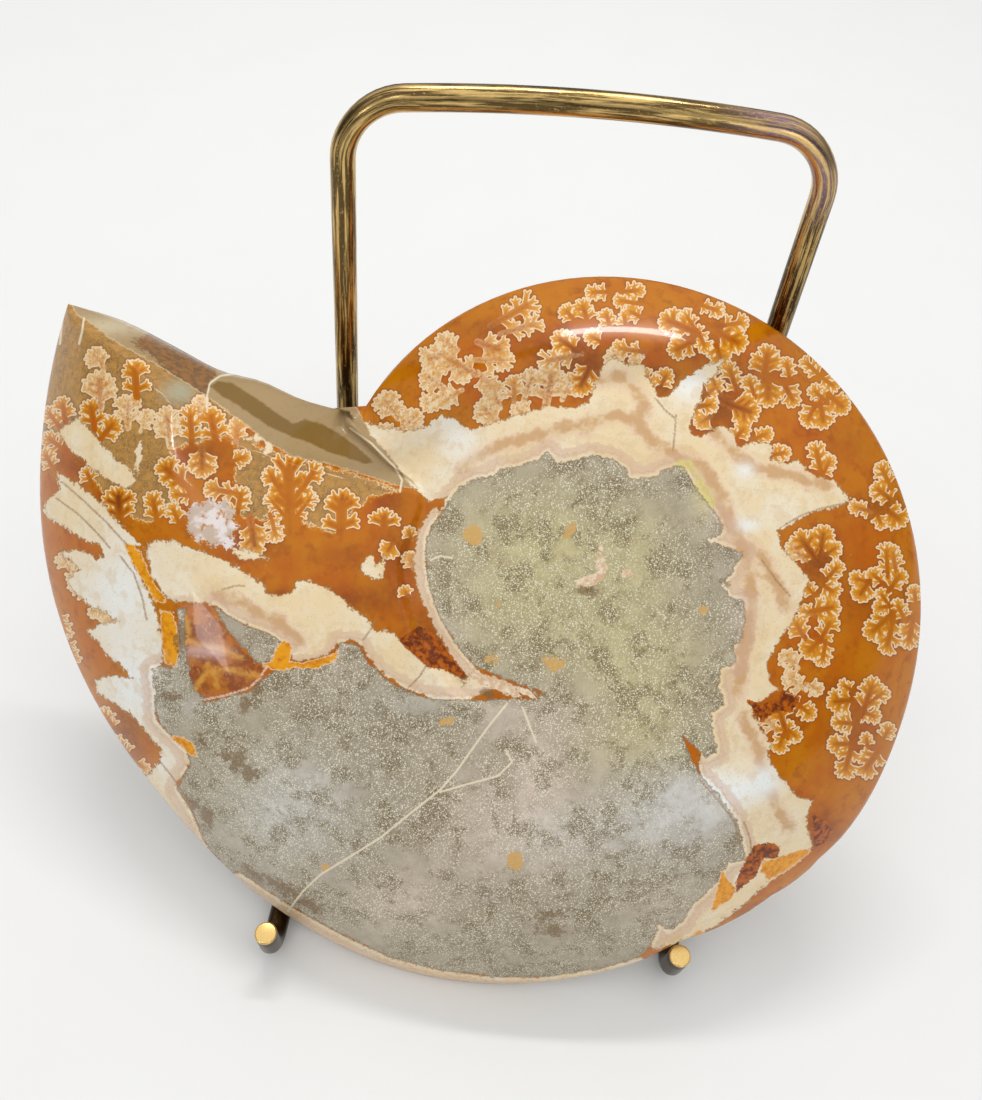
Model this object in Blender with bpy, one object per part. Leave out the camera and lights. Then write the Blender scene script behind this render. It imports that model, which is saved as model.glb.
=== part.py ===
"""Polished ammonite half leaning in a small bent-wire easel.

Blender 4.5. Units are metres, +Z is up and the table is at z = 0. The viewer looks along +Y.
The fossil is modelled face up in its own frame: X to the right, Y up the face, Z out of the
face, with the origin at the spiral's centre on the sawn back. It is then leant into the stand.
"""
import math

import bmesh
import bpy
from mathutils import Vector
from mathutils.geometry import delaunay_2d_cdt, intersect_point_line

MM = 0.001

# Wire stand
WIRE_RADIUS = 2.0 * MM
WIRE_SIDES_LEVEL = 4
# Turn of the faceted wire, left and right, so that each base run stands on a flat and not on an edge
LEFT_FACET_TURN = math.radians(19.1)
RIGHT_FACET_TURN = math.radians(0.15)
STAND_WIDTH = 72.0 * MM
STAND_DEPTH = 72.0 * MM
STAND_HEIGHT = 120.0 * MM
UPRIGHT_LEAN_BACK = math.radians(2.0)
TOP_SHIFT = 2.0 * MM
FRONT_SHIFT = -6.0 * MM
TOP_BAR_BOW = 2.2 * MM
HOOK_HEIGHT = 10.0 * MM
HOOK_LEAN_OUT = math.radians(8.0)
HOOK_BEND = 4.0 * MM
HEEL_BEND = 6.0 * MM
TOP_BEND = 9.0 * MM
BEND_STEPS = 6
BAR_STEPS = 6

# Ammonite outline: a logarithmic spiral, seen from the polished side
SPIRAL_START_RADIUS = 43.1 * MM
SPIRAL_GROWTH = 0.133
SPIRAL_START_ANGLE = math.radians(150.0)
SPIRAL_SWEEP = math.radians(348.0)
# Slow swells and flats along the rim: place along the sweep, height, half width
RIM_WAVES = (
    (math.radians(181.0), 0.8 * MM, math.radians(12.0)),
    (math.radians(210.0), -0.8 * MM, math.radians(12.0)),
    (math.radians(247.0), 1.0 * MM, math.radians(16.0)),
    (math.radians(288.0), -1.4 * MM, math.radians(14.0)),
    (math.radians(320.0), 0.8 * MM, math.radians(14.0)),
)
# Chips in the rim where it meets the right hook: place, height, half width
RIM_CHIPS = (
    (math.radians(211.5), -1.3 * MM, math.radians(4.0)),
    (math.radians(197.0), -0.7 * MM, math.radians(2.2)),
    (math.radians(187.0), -0.6 * MM, math.radians(1.8)),
)
# The broken, ground-off mouth of the last whorl, from the notch to the tip
MOUTH_EDGE = ((-39.6, 19.9), (-48.5, 20.7), (-56.0, 22.6), (-63.6, 23.2), (-72.5, 26.0), (-81.9, 28.7))
# Front edge of the mouth's sloping band, from near the tip to the top of the whorl seam
MOUTH_CREASE = ((-89.5, 27.2), (-83.2, 25.1), (-75.7, 22.9), (-65.8, 16.8), (-56.2, 12.4), (-47.0, 10.5),
                (-36.2, 9.5), (-23.7, 9.3))
# Line where the last whorl laps over the one inside it, from the notch round the filled centre
WHORL_SEAM = ((-38.2, 18.4), (-31.0, 13.6), (-23.7, 9.3), (-24.6, -2.0), (-21.6, -9.5), (-18.0, -15.0),
              (-9.8, -21.5), (1.6, -21.0))

# Ammonite thickness, measured out from the sawn back
RIM_THICKNESS = 2.5 * MM
CROWN_THICKNESS = 18.0 * MM
CROWN_REACH = 42.0 * MM
CROWN_FULLNESS = 2.6
BACK_EDGE_SET_IN = 2.0 * MM
SEAM_STEP = 1.6 * MM
SEAM_STEP_REACH = 22.0 * MM
SEAM_STEP_WIDTH = 0.8 * MM
SEAM_FADE_FROM = 0.75
MOUTH_BAND_FULLNESS = 0.75
JOIN_BLEND = 3.0 * MM

# Shallow brown pits in the ground face: centre, half length, half width, depth, turn
PITS = (
    (Vector((-2.2, -56.0)) * MM, 5.0 * MM, 1.8 * MM, 0.8 * MM, math.radians(8.0)),
    (Vector((-61.5, -27.0)) * MM, 4.6 * MM, 1.8 * MM, 0.7 * MM, math.radians(-50.0)),
)

# Mesh spacing, and how near points may come to each other and to the rim
RIM_SPACING = 2.6 * MM
FACE_SPACING = 3.5 * MM
SHOULDER_SET_IN = 1.4 * MM
LINE_POINT_TO_RIM = 0.84 * MM
FACE_POINT_TO_RIM = 2.6 * MM
FACE_POINT_TO_LINE = 1.9 * MM
RIM_STEPS = 720
LINE_STEPS = 8
# The mouth's band ends along this many spans of the whorl seam
JOIN_SPANS = 2
SHARP_ANGLE = math.radians(35.0)
# What delaunay_2d_cdt is told: keep only the inside of the border, and how close counts as the same point
KEEP_INSIDE = 1
SAME_POINT = 1e-6

# Where the fossil rests
FOSSIL_PLACE = Vector((4.3, 48.0, 55.9)) * MM
FOSSIL_RECLINE = math.radians(42.2)
FOSSIL_TURN = math.radians(-9.0)


def clear_scene():
    """Remove everything that a new file starts with."""
    for item in list(bpy.data.objects):
        bpy.data.objects.remove(item, do_unlink=True)


def make_collection(name):
    """Add a collection to the scene."""
    collection = bpy.data.collections.new(name)
    bpy.context.scene.collection.children.link(collection)
    return collection


def make_material(name, colour, roughness, metallic):
    """Make a plain Principled material."""
    material = bpy.data.materials.new(name)
    material.use_nodes = True
    shader = material.node_tree.nodes["Principled BSDF"]
    shader.inputs["Base Color"].default_value = (*colour, 1.0)
    shader.inputs["Roughness"].default_value = roughness
    shader.inputs["Metallic"].default_value = metallic
    material.diffuse_color = (*colour, 1.0)
    return material


def smooth_step(low, high, value):
    """Ease from 0 at low to 1 at high."""
    t = min(max((value - low) / (high - low), 0.0), 1.0)
    return t * t * (3.0 - 2.0 * t)


def round_corner(before, corner, after, radius, steps):
    """Points of a bend of the given radius in place of a corner."""
    to_before = (before - corner).normalized()
    to_after = (after - corner).normalized()
    half_angle = to_before.angle(to_after) / 2.0
    middle = corner + (to_before + to_after).normalized() * (radius / math.sin(half_angle))
    start = (corner + to_before * (radius / math.tan(half_angle)) - middle).normalized()
    end = (corner + to_after * (radius / math.tan(half_angle)) - middle).normalized()
    return [middle + start.slerp(end, step / steps) * radius for step in range(steps + 1)]


def wire_path():
    """Centre line of the stand's wire, from the left hook's end to the right hook's end."""
    half = STAND_WIDTH / 2.0
    low = WIRE_RADIUS
    lean_back = STAND_HEIGHT * math.tan(UPRIGHT_LEAN_BACK)
    lean_out = HOOK_HEIGHT * math.tan(HOOK_LEAN_OUT)
    corners = {}
    for side, sign in (("left", -1.0), ("right", 1.0)):
        corners[side] = (
            Vector((sign * half + FRONT_SHIFT, -lean_out, low + HOOK_HEIGHT)),
            Vector((sign * half + FRONT_SHIFT, 0.0, low)),
            Vector((sign * half, STAND_DEPTH, low)),
            Vector((sign * half + TOP_SHIFT, STAND_DEPTH + lean_back, low + STAND_HEIGHT)),
        )
    left, right = corners["left"], corners["right"]
    path = [left[0]]
    path += round_corner(left[0], left[1], left[2], HOOK_BEND, BEND_STEPS)
    path += round_corner(left[1], left[2], left[3], HEEL_BEND, BEND_STEPS)
    path += round_corner(left[2], left[3], right[3], TOP_BEND, BEND_STEPS)
    bar_start = path[-1]
    bar_end = bar_start.copy()
    bar_end.x = left[3].x + right[3].x - bar_start.x
    path += [bar_start.lerp(bar_end, step / BAR_STEPS) for step in range(1, BAR_STEPS)]
    path += round_corner(left[3], right[3], right[2], TOP_BEND, BEND_STEPS)
    path += round_corner(right[3], right[2], right[1], HEEL_BEND, BEND_STEPS)
    path += round_corner(right[2], right[1], right[0], HOOK_BEND, BEND_STEPS)
    path.append(right[0])
    return [bowed(point, left[3], right[3]) for point in path]


def bowed(point, left_top, right_top):
    """Raise a point of the top bar by the bar's bow."""
    if point.z < left_top.z / 2.0:
        return point
    t = (point.x - left_top.x) / (right_top.x - left_top.x)
    t = min(max(t, 0.0), 1.0)
    return point + Vector((0.0, math.sin(UPRIGHT_LEAN_BACK), math.cos(UPRIGHT_LEAN_BACK))) * (
        TOP_BAR_BOW * 4.0 * t * (1.0 - t))


def build_stand(collection, root):
    """The stand: one round wire along its path."""
    curve = bpy.data.curves.new("wire_stand", "CURVE")
    curve.dimensions = "3D"
    curve.bevel_depth = WIRE_RADIUS
    curve.bevel_resolution = WIRE_SIDES_LEVEL
    curve.use_fill_caps = True
    curve.twist_mode = "MINIMUM"
    path = wire_path()
    upright_points = 1 + 2 * (BEND_STEPS + 1)
    bar_points = len(path) - 1 - 2 * upright_points
    spline = curve.splines.new("POLY")
    spline.points.add(len(path) - 1)
    for index, (point, place) in enumerate(zip(spline.points, path)):
        point.co = (*place, 1.0)
        along = min(max((index - upright_points) / bar_points, 0.0), 1.0)
        point.tilt = LEFT_FACET_TURN + (RIGHT_FACET_TURN - LEFT_FACET_TURN) * along
    stand = bpy.data.objects.new("wire_stand", curve)
    stand.data.materials.append(make_material("antique brass", (0.53, 0.38, 0.16), 0.28, 1.0))
    stand.parent = root
    collection.objects.link(stand)
    return stand


def spiral_point(sweep, bumps):
    """Point of the spiral rim, with swells, flats and chips added."""
    radius = SPIRAL_START_RADIUS * math.exp(SPIRAL_GROWTH * sweep)
    for place, height, half_width in bumps:
        radius += height * math.exp(-((sweep - place) / half_width) ** 2)
    angle = SPIRAL_START_ANGLE - sweep
    return Vector((radius * math.cos(angle), radius * math.sin(angle)))


def spiral_rim(bumps):
    """Evenly spaced points of the rim, from the notch round to the tip."""
    fine = [spiral_point(SPIRAL_SWEEP * step / RIM_STEPS, bumps) for step in range(RIM_STEPS + 1)]
    return resample(fine, RIM_SPACING)


def resample(points, spacing):
    """Points at even distances along a polyline, with both its ends kept."""
    lengths = [0.0]
    for first, second in zip(points, points[1:]):
        lengths.append(lengths[-1] + (second - first).length)
    count = max(1, round(lengths[-1] / spacing))
    result = []
    index = 0
    for step in range(count + 1):
        target = lengths[-1] * step / count
        while index < len(points) - 2 and lengths[index + 1] < target:
            index += 1
        span = lengths[index + 1] - lengths[index]
        result.append(points[index].lerp(points[index + 1], (target - lengths[index]) / span))
    return result


def smooth_line(places):
    """A smooth curve through a few points given in millimetres."""
    knots = [Vector(place) * MM for place in places]
    knots = [knots[0] * 2.0 - knots[1]] + knots + [knots[-1] * 2.0 - knots[-2]]
    line = []
    for index in range(1, len(knots) - 2):
        a, b, c, d = knots[index - 1:index + 3]
        for step in range(LINE_STEPS):
            t = step / LINE_STEPS
            line.append(0.5 * ((2.0 * b) + (c - a) * t + (2.0 * a - 5.0 * b + 4.0 * c - d) * t ** 2
                               + (3.0 * b - a - 3.0 * c + d) * t ** 3))
    line.append(knots[-2].copy())
    return line


def nearest_on_line(point, line):
    """Distance to a polyline, the side it lies on, and how far along the nearest place is."""
    best = (math.inf, 1.0, 0.0)
    for index, (first, second) in enumerate(zip(line, line[1:])):
        t = min(max(intersect_point_line(point, first, second)[1], 0.0), 1.0)
        distance = (point - first.lerp(second, t)).length
        if distance < best[0]:
            along = second - first
            side = along.x * (point.y - first.y) - along.y * (point.x - first.x)
            best = (distance, math.copysign(1.0, side), (index + t) / (len(line) - 1))
    return best


def inside(point, outline):
    """Whether a point lies within a closed outline."""
    crossings = False
    for first, second in zip(outline, outline[1:] + outline[:1]):
        if (first.y > point.y) != (second.y > point.y):
            x = first.x + (point.y - first.y) * (second.x - first.x) / (second.y - first.y)
            if point.x < x:
                crossings = not crossings
    return crossings


class FaceShape:
    """Lines that shape the polished face, and the thickness they give at any point."""

    def __init__(self):
        self.rim = spiral_rim(RIM_WAVES + RIM_CHIPS)
        self.unchipped_rim = spiral_rim(RIM_WAVES)
        self.mouth = smooth_line(MOUTH_EDGE + (tuple(self.rim[-1] / MM),))
        self.crease = smooth_line(MOUTH_CREASE)
        self.seam = smooth_line(WHORL_SEAM)
        self.join = self.seam[:JOIN_SPANS * LINE_STEPS + 1]
        self.band = self.mouth + self.crease + self.join[::-1]

    def dome(self, point):
        """Thickness of the plain dome."""
        distance = nearest_on_line(point, self.unchipped_rim)[0]
        slack = 1.0 - min(distance / CROWN_REACH, 1.0)
        return RIM_THICKNESS + (CROWN_THICKNESS - RIM_THICKNESS) * (1.0 - slack ** CROWN_FULLNESS)

    def step(self, point):
        """Extra thickness of the last whorl where it laps over the filled centre."""
        distance, side, along = nearest_on_line(point, self.seam)
        lapped = smooth_step(-SEAM_STEP_WIDTH, SEAM_STEP_WIDTH, -side * distance)
        fade = 1.0 - smooth_step(SEAM_FADE_FROM, 1.0, along)
        return SEAM_STEP * lapped * fade * math.exp(-distance / SEAM_STEP_REACH)

    def pits(self, point):
        """Depth of the pits."""
        depth = 0.0
        for centre, half_length, half_width, deep, turn in PITS:
            offset = point - centre
            x = offset.x * math.cos(turn) + offset.y * math.sin(turn)
            y = offset.y * math.cos(turn) - offset.x * math.sin(turn)
            depth += deep * math.exp(-(x / half_length) ** 2 - (y / half_width) ** 2)
        return depth

    def thickness(self, point):
        """Thickness of the fossil at a point of the face."""
        full = self.dome(point) + self.step(point) - self.pits(point)
        if not inside(point, self.band):
            return full
        to_mouth = nearest_on_line(point, self.mouth)[0]
        to_crease = nearest_on_line(point, self.crease)[0]
        to_join = nearest_on_line(point, self.join)[0]
        share = (to_mouth / max(to_mouth + to_crease, SAME_POINT)) ** MOUTH_BAND_FULLNESS
        share = max(share, 1.0 - to_join / JOIN_BLEND)
        return RIM_THICKNESS + (full - RIM_THICKNESS) * share


def face_points(shape, outline):
    """Points inside the outline: the crease, both sides of the seam, a shoulder ring and an even spread."""
    lines = [
        resample(shape.crease, FACE_SPACING),
        resample(offset_line(shape.seam, SEAM_STEP_WIDTH), FACE_SPACING),
        resample(offset_line(shape.seam, -SEAM_STEP_WIDTH), FACE_SPACING),
        offset_line(shape.rim, -SHOULDER_SET_IN)[1:-1],
    ]
    fixed = [point for line in lines for point in line if clear_of(point, outline, LINE_POINT_TO_RIM)]
    spread = []
    row_height = FACE_SPACING * math.sqrt(3.0) / 2.0
    reach_x = max(abs(point.x) for point in outline)
    reach_y = max(abs(point.y) for point in outline)
    rows = int(reach_y / row_height) + 1
    columns = int(reach_x / FACE_SPACING) + 1
    for row in range(-rows, rows + 1):
        shift = FACE_SPACING / 2.0 if row % 2 else 0.0
        for column in range(-columns, columns + 1):
            point = Vector((column * FACE_SPACING + shift, row * row_height))
            if not clear_of(point, outline, FACE_POINT_TO_RIM):
                continue
            if min((point - other).length for other in fixed) > FACE_POINT_TO_LINE:
                spread.append(point)
    return fixed + spread


def offset_line(line, distance):
    """A polyline moved sideways, to its left for a positive distance."""
    moved = []
    for index, point in enumerate(line):
        before = line[max(index - 1, 0)]
        after = line[min(index + 1, len(line) - 1)]
        along = (after - before).normalized()
        moved.append(point + Vector((-along.y, along.x)) * distance)
    return moved


def clear_of(point, outline, margin):
    """Whether a point is inside the outline and further than margin from it."""
    closed = outline + outline[:1]
    return inside(point, outline) and nearest_on_line(point, closed)[0] > margin


def build_fossil(collection, root):
    """The fossil: a triangulated polished face, a thin rim and the flat sawn back."""
    shape = FaceShape()
    outline = shape.rim + resample(shape.mouth, RIM_SPACING)[::-1][1:-1]
    points = outline + face_points(shape, outline)
    border = [(index, (index + 1) % len(outline)) for index in range(len(outline))]
    placed, _, triangles, *_ = delaunay_2d_cdt(points, border, [], KEEP_INSIDE, SAME_POINT)
    mesh = bpy.data.meshes.new("ammonite_half")
    mesh.from_pydata([(point.x, point.y, shape.thickness(point)) for point in placed], [], triangles)
    model = bmesh.new()
    model.from_mesh(mesh)
    bmesh.ops.recalc_face_normals(model, faces=model.faces)
    if sum(face.normal.z for face in model.faces) < 0.0:
        bmesh.ops.reverse_faces(model, faces=model.faces)
    rim_edges = [edge for edge in model.edges if edge.is_boundary]
    for edge in rim_edges:
        for vertex in edge.verts:
            vertex.co.z = RIM_THICKNESS
    made = bmesh.ops.extrude_edge_only(model, edges=rim_edges)["geom"]
    back = [item for item in made if isinstance(item, bmesh.types.BMVert)]
    for vertex in back:
        around = [edge.other_vert(vertex).co.to_2d() for edge in vertex.link_edges
                  if edge.is_boundary]
        along = (around[0] - around[1]).normalized()
        inward = Vector((-along.y, along.x)) * BACK_EDGE_SET_IN
        if not inside(vertex.co.to_2d() + inward, outline):
            inward.negate()
        vertex.co = Vector((vertex.co.x + inward.x, vertex.co.y + inward.y, 0.0))
    open_edges = [edge for edge in model.edges if edge.is_boundary]
    bmesh.ops.contextual_create(model, geom=open_edges)
    bmesh.ops.recalc_face_normals(model, faces=model.faces)
    bmesh.ops.triangulate(model, faces=[face for face in model.faces if len(face.verts) > 4])
    model.to_mesh(mesh)
    model.free()
    mesh.shade_smooth()
    mesh.set_sharp_from_angle(angle=SHARP_ANGLE)
    fossil = bpy.data.objects.new("ammonite_half", mesh)
    fossil.data.materials.append(make_material("polished calcite", (0.46, 0.27, 0.12), 0.18, 0.0))
    fossil.location = FOSSIL_PLACE
    fossil.rotation_euler = (math.radians(90.0) - FOSSIL_RECLINE, 0.0, FOSSIL_TURN)
    fossil.parent = root
    collection.objects.link(fossil)
    return fossil


def centre_over_origin(root, parts):
    """Move the root so that the middle of the object's footprint is over the origin."""
    bpy.context.view_layer.update()
    depsgraph = bpy.context.evaluated_depsgraph_get()
    places = []
    for part in parts:
        evaluated = part.evaluated_get(depsgraph)
        mesh = evaluated.to_mesh()
        places += [evaluated.matrix_world @ vertex.co for vertex in mesh.vertices]
        evaluated.to_mesh_clear()
    low = [min(place[axis] for place in places) for axis in range(3)]
    high = [max(place[axis] for place in places) for axis in range(3)]
    root.location = (-(low[0] + high[0]) / 2.0, -(low[1] + high[1]) / 2.0, -low[2])
    bpy.context.view_layer.update()


def main():
    """Build the whole object round one root."""
    clear_scene()
    collection = make_collection("ammonite_half_on_stand")
    root = bpy.data.objects.new("object_root", None)
    collection.objects.link(root)
    stand = build_stand(collection, root)
    fossil = build_fossil(collection, root)
    centre_over_origin(root, (stand, fossil))


main()
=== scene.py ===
"""Dressed model of a polished ammonite half leaning in its bent-wire easel.

The file is laid out as an add-on and is run as a script. Places on the photograph's frame of
982 by 1100 pixels say where each marking lies, and the camera puts them on the domed face.
"""
import math

import bmesh
import bpy
import numpy as np
from bpy.props import FloatProperty, FloatVectorProperty, PointerProperty
from mathutils import Euler, Matrix, Vector


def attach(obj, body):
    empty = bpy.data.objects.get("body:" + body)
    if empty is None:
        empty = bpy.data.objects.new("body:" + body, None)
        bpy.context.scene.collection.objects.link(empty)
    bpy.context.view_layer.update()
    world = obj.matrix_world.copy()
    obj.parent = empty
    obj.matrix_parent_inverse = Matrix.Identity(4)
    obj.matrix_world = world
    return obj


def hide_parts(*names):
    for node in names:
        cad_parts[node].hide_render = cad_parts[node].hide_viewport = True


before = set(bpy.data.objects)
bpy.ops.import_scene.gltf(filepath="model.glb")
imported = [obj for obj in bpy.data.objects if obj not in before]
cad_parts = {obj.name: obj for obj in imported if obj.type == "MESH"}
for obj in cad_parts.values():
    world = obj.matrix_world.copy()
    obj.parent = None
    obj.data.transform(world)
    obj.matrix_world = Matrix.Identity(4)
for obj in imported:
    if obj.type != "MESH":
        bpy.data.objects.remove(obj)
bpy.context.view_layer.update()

bl_info = {
    "name": "Ammonite half on a wire stand",
    "version": (1, 0, 0),
    "blender": (4, 5, 0),
    "location": "View3D > Sidebar > Ammonite",
    "description": "Builds a polished ammonite half, its wire stand and a plain stage",
    "category": "Object",
}

MM = 0.001
COLOUR_A, COLOUR_B, MIXED_COLOUR = 6, 7, 2

# The frame of the fossil: X right, Y up the face, Z out of the face, origin on the sawn back
FOSSIL_PLACE = Vector((16.153, 9.559, 55.829)) * MM
FOSSIL_TURN = Euler((math.radians(47.8), 0.0, math.radians(-9.0)))
FOSSIL_MATRIX = Matrix.Translation(FOSSIL_PLACE) @ FOSSIL_TURN.to_matrix().to_4x4()

# The photograph's camera in the row frame
CAMERA_PLACE = Vector((-1.318, -107.999, 193.734)) * MM
CAMERA_PITCH = math.radians(48.815)
CAMERA_YAW = math.radians(2.669)
CAMERA_ROLL = math.radians(5.795)
FOCAL_PIXELS = 1050.0
PHOTO_CENTRE = (491.0, 550.0)
PHOTO_HEIGHT = 1100.0
SENSOR_MM = 36.0
PIXELS_PER_MM = 5.5

# Sizes of the fossil, in millimetres, as in the part's source
SPIRAL_START_RADIUS = 43.1
SPIRAL_GROWTH = 0.133
SPIRAL_START_ANGLE = math.radians(150.0)
SPIRAL_SWEEP = math.radians(348.0)
SPIRAL_STEPS = 260
RIM_WAVES = ((181.0, 0.8, 12.0), (210.0, -0.8, 12.0), (247.0, 1.0, 16.0), (288.0, -1.4, 14.0), (320.0, 0.8, 14.0))
MOUTH_EDGE = ((-39.6, 19.9), (-48.5, 20.7), (-56.0, 22.6), (-63.6, 23.2), (-72.5, 26.0), (-81.9, 28.7))
MOUTH_CREASE = ((-89.5, 27.2), (-83.2, 25.1), (-75.7, 22.9), (-65.8, 16.8), (-56.2, 12.4), (-47.0, 10.5),
                (-36.2, 9.5), (-23.7, 9.3))
WHORL_SEAM = ((-38.2, 18.4), (-31.0, 13.6), (-23.7, 9.3), (-24.6, -2.0), (-21.6, -9.5), (-18.0, -15.0),
              (-9.8, -21.5), (1.6, -21.0))
LINE_STEPS = 8
JOIN_SPANS = 2
RIM_THICKNESS = 2.5
CROWN_THICKNESS = 18.0
CROWN_REACH = 42.0
CROWN_FULLNESS = 2.6
SEAM_STEP = 1.6
SEAM_STEP_REACH = 22.0
SEAM_STEP_WIDTH = 0.8
SEAM_FADE_FROM = 0.75
MOUTH_BAND_FULLNESS = 0.75
JOIN_BLEND = 3.0
ON_MOUTH = 0.15
PITS = ((-2.2, -56.0, 5.0, 1.8, 0.8, 8.0), (-61.5, -27.0, 4.6, 1.8, 0.7, -50.0))
EDGE_ROUND = 0.15
EDGE_ROUND_REACH = 0.5

# How the solid's copy is merged and cut, in millimetres
FIRST_CUTS = 3
SAME_POINT = 0.01
SAWN_LEVEL = 0.05
CUT_BELOW_RIM = 0.1
MOVED_BELOW_RIM = 0.01
FOSSIL_SHARP_ANGLE = math.radians(40.0)

# The furthest that a marking's distance is stored, in pixels
FAR = 60.0

# Suture leaves, in pixels and as shares of a leaf's length or width
LEAF_SEED = 11
LEAF_MARGIN = 14.0
TRUNK_WIDTH = 0.19
TRUNK_LEAST = 2.8
TRUNK_LENGTH = 0.8
LONG_LEAF = 16
WIDE_LEAF = 18
FINGERTIP_LEAST = 1.2

# Path of the stand's wire, in millimetres, as in the part's source, and that source's root
STAND_SHIFT = Vector((11.853, -38.441, -0.071))
WIRE_CENTRE_HEIGHT = 2.0
STAND_WIDTH = 72.0
STAND_DEPTH = 72.0
STAND_HEIGHT = 120.0
UPRIGHT_LEAN_BACK = math.radians(2.0)
TOP_SHIFT = 2.0
FRONT_SHIFT = -6.0
TOP_BAR_BOW = 2.2
HOOK_HEIGHT = 10.0
HOOK_LEAN_OUT = math.radians(8.0)
HOOK_BEND = 4.0
HEEL_BEND = 6.0
TOP_BEND = 9.0
WIRE_SIDES = 32
RUN_STEP = 3.0
BEND_STEP = math.radians(7.5)
CUT_END_BEVEL = 0.35
WIRE_SHARP_ANGLE = math.radians(50.0)

# The sawn back: chambers in a turn, and how far round the last whorl its stone filling starts
CHAMBERS_A_TURN = 26.0
STONE_FILL_START = math.radians(195.0)

# How bright the backdrop is where the camera sees it
BACKDROP_TONE = 0.88

# The floor: how far it lies below the part in millimetres, and how dark its grain is
FLOOR_DROP = 0.05
FLOOR_GRAIN = 0.97

# Lamps: name, direction from the fossil, distance and size in metres, and power in watts
LAMPS = (
    ("top strip", (0.0, 0.41, 0.91), 0.7, (0.36, 0.03), 1.4),
    ("small window", (-0.31, -0.67, 0.68), 0.9, (0.03, 0.03), 0.15),
    ("low left", (-0.64, -0.72, 0.26), 0.8, (0.08, 0.10), 0.28),
    ("front right", (0.34, -0.93, 0.10), 0.9, (0.30, 0.20), 0.5),
)

# Markings, as outlines in pixels of the photograph
STONE = (
    (441, 514), (450, 500), (460, 487), (478, 479), (493, 476), (500, 469), (520, 467), (540, 459), (548, 452),
    (556, 463), (575, 460), (592, 455), (612, 459), (626, 469), (628, 479), (650, 478), (668, 469), (682, 465),
    (690, 479), (700, 494), (712, 508), (722, 524), (722, 532), (706, 540), (728, 548), (744, 552), (736, 564),
    (731, 573), (722, 584), (728, 597), (745, 601), (744, 622), (742, 640), (733, 645), (736, 664), (720, 668),
    (719, 686), (724, 704), (712, 712), (711, 726), (717, 752), (706, 757), (695, 747), (683, 737), (690, 757),
    (702, 778), (720, 797), (736, 820), (743, 845), (745, 858), (727, 863), (718, 881), (704, 895), (693, 903),
    (682, 922), (668, 930), (659, 922), (653, 942), (640, 957), (600, 968), (550, 976), (500, 977), (440, 970),
    (390, 957), (345, 936), (300, 912), (262, 890), (236, 875), (222, 877), (196, 848), (182, 822), (166, 798), (181, 772),
    (178, 758), (160, 738), (151, 726), (150, 706), (160, 694), (162, 674), (176, 676), (180, 700), (190, 710),
    (222, 700), (247, 693), (262, 680), (280, 668), (318, 667), (336, 656), (340, 643), (358, 645), (366, 660),
    (382, 677), (402, 689), (432, 700), (476, 701), (500, 699), (545, 699), (549, 691), (520, 685), (492, 673),
    (478, 668), (465, 655), (450, 634), (438, 612), (430, 588), (426, 566), (426, 545), (431, 527),
)
STONE_STRIP = (
    (150, 672), (160, 667), (168, 671), (175, 662), (179, 640), (177, 610), (185, 609), (184, 640), (187, 676),
    (191, 694), (202, 702), (190, 713), (174, 708), (152, 708),
)
STONE_PATCH = ((214, 606), (230, 618), (248, 627), (268, 634), (284, 645), (280, 655), (268, 662), (258, 664), (246, 652), (232, 638), (222, 622))
SHELL_BAND = (
    (440, 512), (448, 496), (430, 482), (408, 462), (392, 449), (378, 437), (386, 428), (404, 432), (424, 428),
    (440, 416), (456, 420), (470, 430), (490, 424), (510, 418), (530, 412), (550, 406), (570, 408), (588, 404),
    (596, 385), (601, 368), (612, 358), (628, 364), (643, 366), (650, 382), (660, 398), (670, 395), (680, 382),
    (692, 373), (708, 365), (722, 361), (716, 373), (704, 384), (700, 402), (691, 418), (691, 434), (702, 436),
    (722, 425), (731, 431), (738, 447), (752, 442), (772, 446), (770, 458), (780, 464), (800, 462), (812, 475),
    (834, 481), (851, 498), (838, 506), (818, 510), (797, 520), (779, 531), (784, 552), (800, 568), (809, 579),
    (802, 600), (792, 620), (780, 640), (768, 660), (769, 680), (776, 690), (760, 701), (751, 711), (760, 728),
    (770, 745), (768, 758), (785, 784), (798, 797), (812, 801), (806, 822), (813, 848), (790, 868), (762, 888),
    (735, 912), (700, 936), (655, 950), (640, 940), (700, 850), (700, 760), (690, 640), (690, 540), (640, 500),
    (520, 500),
)
SHELL_SLAB = (
    (143, 548), (158, 540), (176, 543), (196, 550), (222, 558), (245, 573), (262, 583), (268, 596), (290, 594),
    (296, 582), (306, 580), (322, 586), (335, 594), (350, 607), (366, 618), (374, 630), (392, 632), (402, 643),
    (416, 657), (428, 667), (444, 669), (462, 679), (478, 675), (496, 677), (512, 685), (532, 690), (547, 691),
    (541, 699), (514, 698), (497, 690), (486, 689), (478, 697), (458, 701), (434, 700), (408, 689), (386, 676),
    (370, 660), (362, 645), (350, 639), (337, 645), (326, 655), (305, 661), (290, 660), (284, 645), (268, 634),
    (248, 627), (230, 619), (216, 606), (195, 603), (172, 601), (160, 590), (152, 576), (149, 560),
)
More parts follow.
